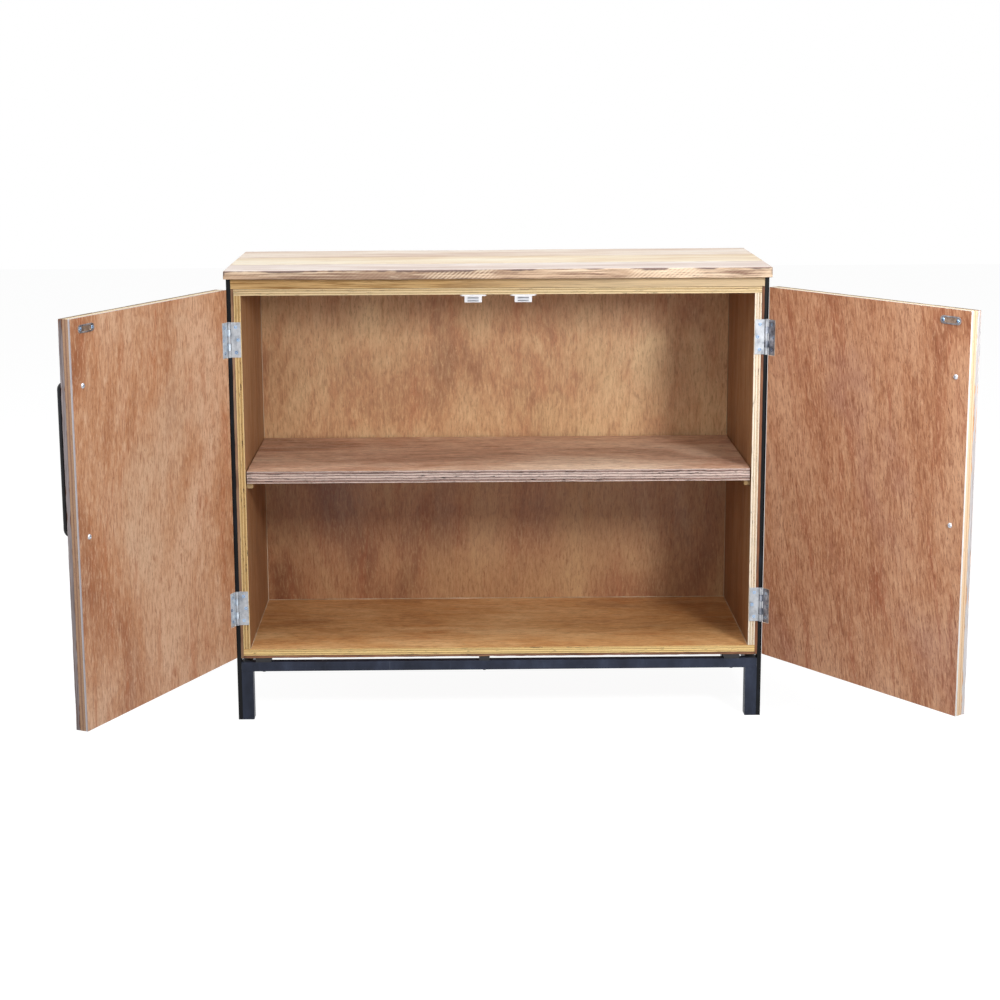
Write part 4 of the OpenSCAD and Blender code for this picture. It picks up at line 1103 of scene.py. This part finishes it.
for sx in (-1, 1):
    s = -sx      # the leaf runs from the pin towards the middle
    bm = bmesh.new()
    leaf(bm, s, 0, False)
    piece('hinge_frame_leaves_' + SIDE[sx], bm, M['zinc_f'], 'cabinet', ['frame_leaves_' + SIDE[sx]],
          matrix=Matrix.Translation((sx * AXIS_X * MM, AXIS_Y * MM, 0)), sharp=30)
    bm = bmesh.new()
    leaf(bm, s, 0, True)
    piece('hinge_door_leaves_' + SIDE[sx], bm, M['zinc_dl' if sx < 0 else 'zinc_dr'], BODY[sx], ['door_leaves_' + SIDE[sx]],
          matrix=door_matrix(sx), sharp=30)
bm = bmesh.new()
for sx in (-1, 1):
    for zc in HINGE_Z:
        for q, (hx, hz) in enumerate(LEAF_HOLES):
            screw(bm, (sx * (AXIS_X - hx), AXIS_Y + 2.02, zc + hz), (0, -1, 0), head=3.0, depth=1.2, length=14, shank=1.5,
                  turn=0.4 * q + zc * 0.01 + sx)
piece('hinge_frame_screws', bm, M['screw'], 'cabinet', ['frame_leaf_screws'], weighted=False)

# ---------------------------------------------------------------- doors
Z0, Z1 = 123.5, 820.5
U0, U1 = 4.0, 492.7
FR = [0, 0.19, 0.405, 0.6, 0.8, 1]
TH = [8.4, 7.5, 8.1, 7.2, 8.4]
for sx in (-1, 1):
    s = -sx
    mat = door_matrix(sx)
    key = 'l' if sx < 0 else 'r'

    def span(a, b):
        return sorted((s * a, s * b))

    # skin, with the shallow mortises for the hinge leaves
    def mort(p):
        x, y, z = p
        u = s * x
        for zc in HINGE_Z:
            if u < 21.41 and abs(z - zc) < 32.91 and y > -3.3:
                return (x, -3.3, z)
        return p

    zl = []
    for zc in HINGE_Z:
        zl += [zc - 33.25, zc - 32.9, zc + 32.9, zc + 33.25]
    x0, x1 = span(U0, U1)
    bm = bmesh.new()
    grid_box(bm, (x0, -5.3, Z0), (x1, -1.3, Z1), r=0.5, rmin=0.2, step=(22, 1.4, 10), seed=80 + sx,
             extra=((s * 21.4, s * 21.75), (-3.3,), zl), warp=mort, mats=(1, 1, 2, 0, 1, 1))
    piece('door_inner_skin_' + SIDE[sx], bm, [M['skin_' + key], M['skin_edge_' + key], M['core_face']], BODY[sx],
          ['door_skin_' + SIDE[sx]], matrix=mat)
    # core
    bm = bmesh.new()
    grid_box(bm, (x0, -16.3, Z0), (x1, -5.32, Z1), r=0.5, rmin=0.2, step=(22, 2.6, 9), seed=83 + sx, mats=(0, 0, 2, 2, 1, 1),
             warp=lambda p: (p[0] - s * 0.5 * max(0, nz(p, 0.06, 4)) * (1 if s * p[0] > U1 - 1.2 else 0), p[1], p[2]))
    piece('door_middle_' + SIDE[sx], bm, [M['core_edge_' + key], M['core_edge_x'], M['core_face']], BODY[sx],
          ['door_core_' + SIDE[sx]], matrix=mat)
    # outer planks
    bm = bmesh.new()
    W = U1 - U0
    pick = [0, 1, 2, 3, 4] if sx < 0 else [3, 2, 4, 0, 1]
    for i in range(5):
        a = U0 + FR[i] * W + (0 if i == 0 else 0.25)
        b = U0 + FR[i + 1] * W - (0 if i == 4 else 0.25)
        xa, xb = span(a, b)
        edge = 5 if i in (0, 4) else pick[i]
        ml, mr = (5 if i == 0 else pick[i]), (5 if i == 4 else pick[i])
        if s < 0:
            ml, mr = mr, ml

        def worn_plank(p, i=i):
            x, y, z = p
            if s * x > U1 - 2.5:
                x -= s * (0.9 * max(0.0, nz((0, y * 4, z), 0.02, 7)) + 0.6 * max(0.0, nz((0, y * 3, z), 0.09, 2)))
            if y < -20:
                y += 0.5 * max(0.0, nz((x, 0, z), 0.02, 11 + i))
            return (x, y, z)

        grid_box(bm, (xa, -16.32 - TH[i], Z0), (xb, -16.32, Z1), r=1.7, rmin=0.35, step=(12, 2.6, 6), seed=90 + i + sx,
                 warp=worn_plank, mats=(ml, mr, pick[i], pick[i], 6, 6))
    piece('door_outer_planks_' + SIDE[sx], bm, FACING + [M['facing_edge_' + key], M['facing_end']], BODY[sx],
          ['door_facing_' + SIDE[sx]], matrix=mat)
    # ragged pale fibres round the mortises
    bm = bmesh.new()
    for zc in HINGE_Z:
        corner(bm, (s * 21.7, -1.5, zc - 33), (s * 21.7, -1.5, zc + 33), 0.42, 2 + sx)
        for e in (-1, 1):
            corner(bm, (s * 5, -1.5, zc + e * 33.2), (s * 21.6, -1.5, zc + e * 33.2), 0.38, 4 + e)
    piece('mortise_fibres_' + SIDE[sx], bm, M['sliver'], BODY[sx], matrix=mat, weighted=False)
    # screws in the door leaves and the strike
    bm = bmesh.new()
    for zc in HINGE_Z:
        for q, (hx, hz) in enumerate(LEAF_HOLES):
            screw(bm, (s * hx, -2.02, zc + hz), (0, 1, 0), head=3.0, depth=1.2, length=12.5, shank=1.5, turn=0.5 * q + zc * 0.02)
    for e in (-1, 1):
        screw(bm, (s * (448.2 + e * 16.5), -0.12, 801.5), (0, 1, 0), head=3.1, depth=0.1, length=11, shank=1.4, dome=1.0, turn=0.7 + e)
    piece('door_screw_set_' + SIDE[sx], bm, M['screw'], BODY[sx], ['door_screws_' + SIDE[sx]], matrix=mat, weighted=False)
    # strike plate: oval, raised rim, dished middle
    bm = bmesh.new()

    def flat(ring):
        return [(s * 448.2 + x, -1.3 + z, 801.5 + y) for x, y, z in ring]

    loft(bm, [flat(stadium(16, 6.9, 0.0)), flat(stadium(16, 7.0, 0.15)), flat(stadium(16, 6.95, 0.95)), flat(stadium(16, 6.6, 1.2)),
              flat(stadium(15.4, 5.4, 1.22)), flat(stadium(10.0, 4.5, 1.15))], cap=False)
    inner = [flat(stadium(10.0, 4.5, 1.15)), flat(stadium(9.7, 4.2, 0.55)), flat(stadium(9.0, 3.4, 0.5)), flat(stadium(5.0, 0.6, 0.5))]
    vs = [[bm.verts.new(Vector(p) * MM) for p in rg] for rg in inner]
    for A, B in zip(vs, vs[1:]):
        for q in range(len(A)):
            q2 = (q + 1) % len(A)
            f = bm.faces.new([A[q], A[q2], B[q2], B[q]])
            f.smooth = True
            f.material_index = 1
    f = bm.faces.new(vs[-1])
    f.material_index = 1
    f = bm.faces.new([bm.verts.new(Vector(p) * MM) for p in flat(stadium(16, 6.9, 0.0))])
    piece('strike_plate_' + SIDE[sx], bm, [M['strike_rim'], M['strike_in']], BODY[sx], ['strike_' + SIDE[sx]],
          matrix=mat, sharp=30, weighted=False)
    # handle: bent round bar with a joint near its lower end
    bm = bmesh.new()
    U = 463.7
    y0, yb = -24.75, -24.7 - 27 + 4.5
    path = [(s * U, y0, 454), (s * U, y0 - 4, 454), (s * U, yb + 9, 454)]
    for a in range(10, 91, 10):
        t = math.radians(a)
        path.append((s * U, yb + 9 - 9 * math.sin(t), 454 + 9 - 9 * math.cos(t)))
    zj = 472
    path += [(s * U, yb, zj - 0.6), (s * U, yb, zj - 0.35), (s * U, yb, zj + 0.35), (s * U, yb, zj + 0.6)]
    path += [(s * U, yb, z) for z in range(490, 690, 20)]
    for a in range(0, 91, 10):
        t = math.radians(a)
        path.append((s * U, yb + 9 - 9 * math.cos(t), 708 - 9 + 9 * math.sin(t)))
    path += [(s * U, y0 - 4, 708), (s * U, y0, 708)]
    rads = [4.1 if abs(p[2] - zj) < 0.4 and abs(p[1] - yb) < 0.01 else 4.5 for p in path]
    tube(bm, path, rads, seg=28)
    piece('pull_bar_' + SIDE[sx], bm, M['handle'], BODY[sx], ['handle_' + SIDE[sx]], matrix=mat, sharp=60)
    bm = bmesh.new()
    for z in (454, 708):
        screw(bm, (s * U, -1.28, z), (0, 1, 0), head=4.6, depth=0.1, length=35.4, shank=2.0, dome=2.4, turn=0.9 + z)
    piece('pull_screws_' + SIDE[sx], bm, M['dome'], BODY[sx], ['handle_screws_' + SIDE[sx]], matrix=mat, weighted=False)

# ---------------------------------------------------------------- camera
cam = bpy.data.objects.new('camera', bpy.data.cameras.new('camera'))
scene.collection.objects.link(cam)
cam.data.sensor_width = 36
cam.data.lens = 75.889
cam.data.clip_end = 50
yaw, pitch, roll = (math.radians(v) for v in (-0.930261586826189, 11.664307966153215, -0.22129295503243887))
right, fwd, up = Vector((1, 0, 0)), Vector((0, 1, 0)), Vector((0, 0, 1))
fwd2 = math.cos(pitch) * fwd - math.sin(pitch) * up
up2 = math.cos(pitch) * up + math.sin(pitch) * fwd
right3 = math.cos(roll) * right + math.sin(roll) * up2
up3 = -math.sin(roll) * right + math.cos(roll) * up2
rot = Matrix((right3, up3, -fwd2)).transposed().to_4x4()
cam.matrix_world = Matrix.Translation((-0.0608694, -4.0535787, 1.2213617)) @ Matrix.Rotation(yaw, 4, 'Z') @ rot
scene.camera = cam

# ---------------------------------------------------------------- stage and light
bm = bmesh.new()
bmesh.ops.create_grid(bm, x_segments=8, y_segments=8, size=9)
for v in bm.verts:
    v.co.z = -0.0005
me = bpy.data.meshes.new('studio_floor')
bm.to_mesh(me)
bm.free()
floor = bpy.data.objects.new('studio_floor', me)
scene.collection.objects.link(floor)
fm = bpy.data.materials.new('studio_floor')
fm.use_nodes = True
nt = fm.node_tree
nt.nodes.clear()
o_ = nt.nodes.new('ShaderNodeOutputMaterial')
d_ = nt.nodes.new('ShaderNodeBsdfPrincipled')
n_ = nt.nodes.new('ShaderNodeTexNoise')
n_.inputs['Scale'].default_value = 3.0
r_ = nt.nodes.new('ShaderNodeMapRange')
r_.inputs['To Min'].default_value = 0.20
r_.inputs['To Max'].default_value = 0.22
nt.links.new(n_.outputs['Fac'], r_.inputs['Value'])
nt.links.new(r_.outputs['Result'], d_.inputs['Base Color'])
d_.inputs['Roughness'].default_value = 0.9
d_.inputs['Specular IOR Level'].default_value = 0.0
d_.inputs['Emission Color'].default_value = (1, 1, 1, 1)
lpf = nt.nodes.new('ShaderNodeLightPath')
rf = nt.nodes.new('ShaderNodeMapRange')
rf.inputs['To Min'].default_value = 0.94
rf.inputs['To Max'].default_value = 0.13
nt.links.new(lpf.outputs['Is Diffuse Ray'], rf.inputs['Value'])
nt.links.new(rf.outputs['Result'], d_.inputs['Emission Strength'])
nt.links.new(d_.outputs[0], o_.inputs[0])
me.materials.append(fm)

world = bpy.data.worlds.new('studio')
scene.world = world
world.use_nodes = True
wt = world.node_tree
wt.nodes.clear()
wo = wt.nodes.new('ShaderNodeOutputWorld')
b1 = wt.nodes.new('ShaderNodeBackground')
b1.inputs[0].default_value = (1, 1, 1, 1)
b1.inputs[1].default_value = 1.0
b2_ = wt.nodes.new('ShaderNodeBackground')
b2_.inputs[0].default_value = (0.97, 0.98, 1.0, 1)
b2_.inputs[1].default_value = 0.16
mx = wt.nodes.new('ShaderNodeMixShader')
lp = wt.nodes.new('ShaderNodeLightPath')
wt.links.new(lp.outputs['Is Diffuse Ray'], mx.inputs[0])
wt.links.new(b1.outputs[0], mx.inputs[1])
wt.links.new(b2_.outputs[0], mx.inputs[2])
wt.links.new(mx.outputs[0], wo.inputs[0])


def softbox(name, az, el, dist, w, h, power, target=(0, 0, 0.5), color=(1, 1, 1)):
    """az is degrees to the right of straight in front; el is above the horizon."""
    a, e = math.radians(az), math.radians(el)
    t = Vector(target)
    pos = t + Vector((math.sin(a) * math.cos(e), -math.cos(a) * math.cos(e), math.sin(e))) * dist
    L = bpy.data.lights.new(name, 'AREA')
    L.shape = 'RECTANGLE'
    L.size, L.size_y = w, h
    L.energy = power
    L.color = color
    o = bpy.data.objects.new(name, L)
    scene.collection.objects.link(o)
    o.matrix_world = Matrix.Translation(pos) @ (t - pos).to_track_quat('-Z', 'Y').to_matrix().to_4x4()
    o.visible_camera = False
    return o



def near_head(name, x, power, y=-1.61, z=1.15, size=0.34):
    L = bpy.data.lights.new(name, 'AREA')
    L.shape = 'SQUARE'
    L.size = size
    L.energy = power
    o = bpy.data.objects.new(name, L)
    scene.collection.objects.link(o)
    pos, t = Vector((x, y, z)), Vector((0, 0, 0.5))
    o.matrix_world = Matrix.Translation(pos) @ (t - pos).to_track_quat('-Z', 'Y').to_matrix().to_4x4()
    o.visible_camera = False


near_head('head_right', 1.03, 20.5, size=0.28)
near_head('head_left', -0.75, 3.0, size=0.28)
softbox('side_left', -72, 15, 4.4, 0.8, 0.8, 28)
softbox('high_front', 0, 35, 4.4, 0.8, 0.8, 22)
softbox('overhead', 2, 78, 3.2, 1.8, 1.2, 64)

bpy.context.view_layer.update()
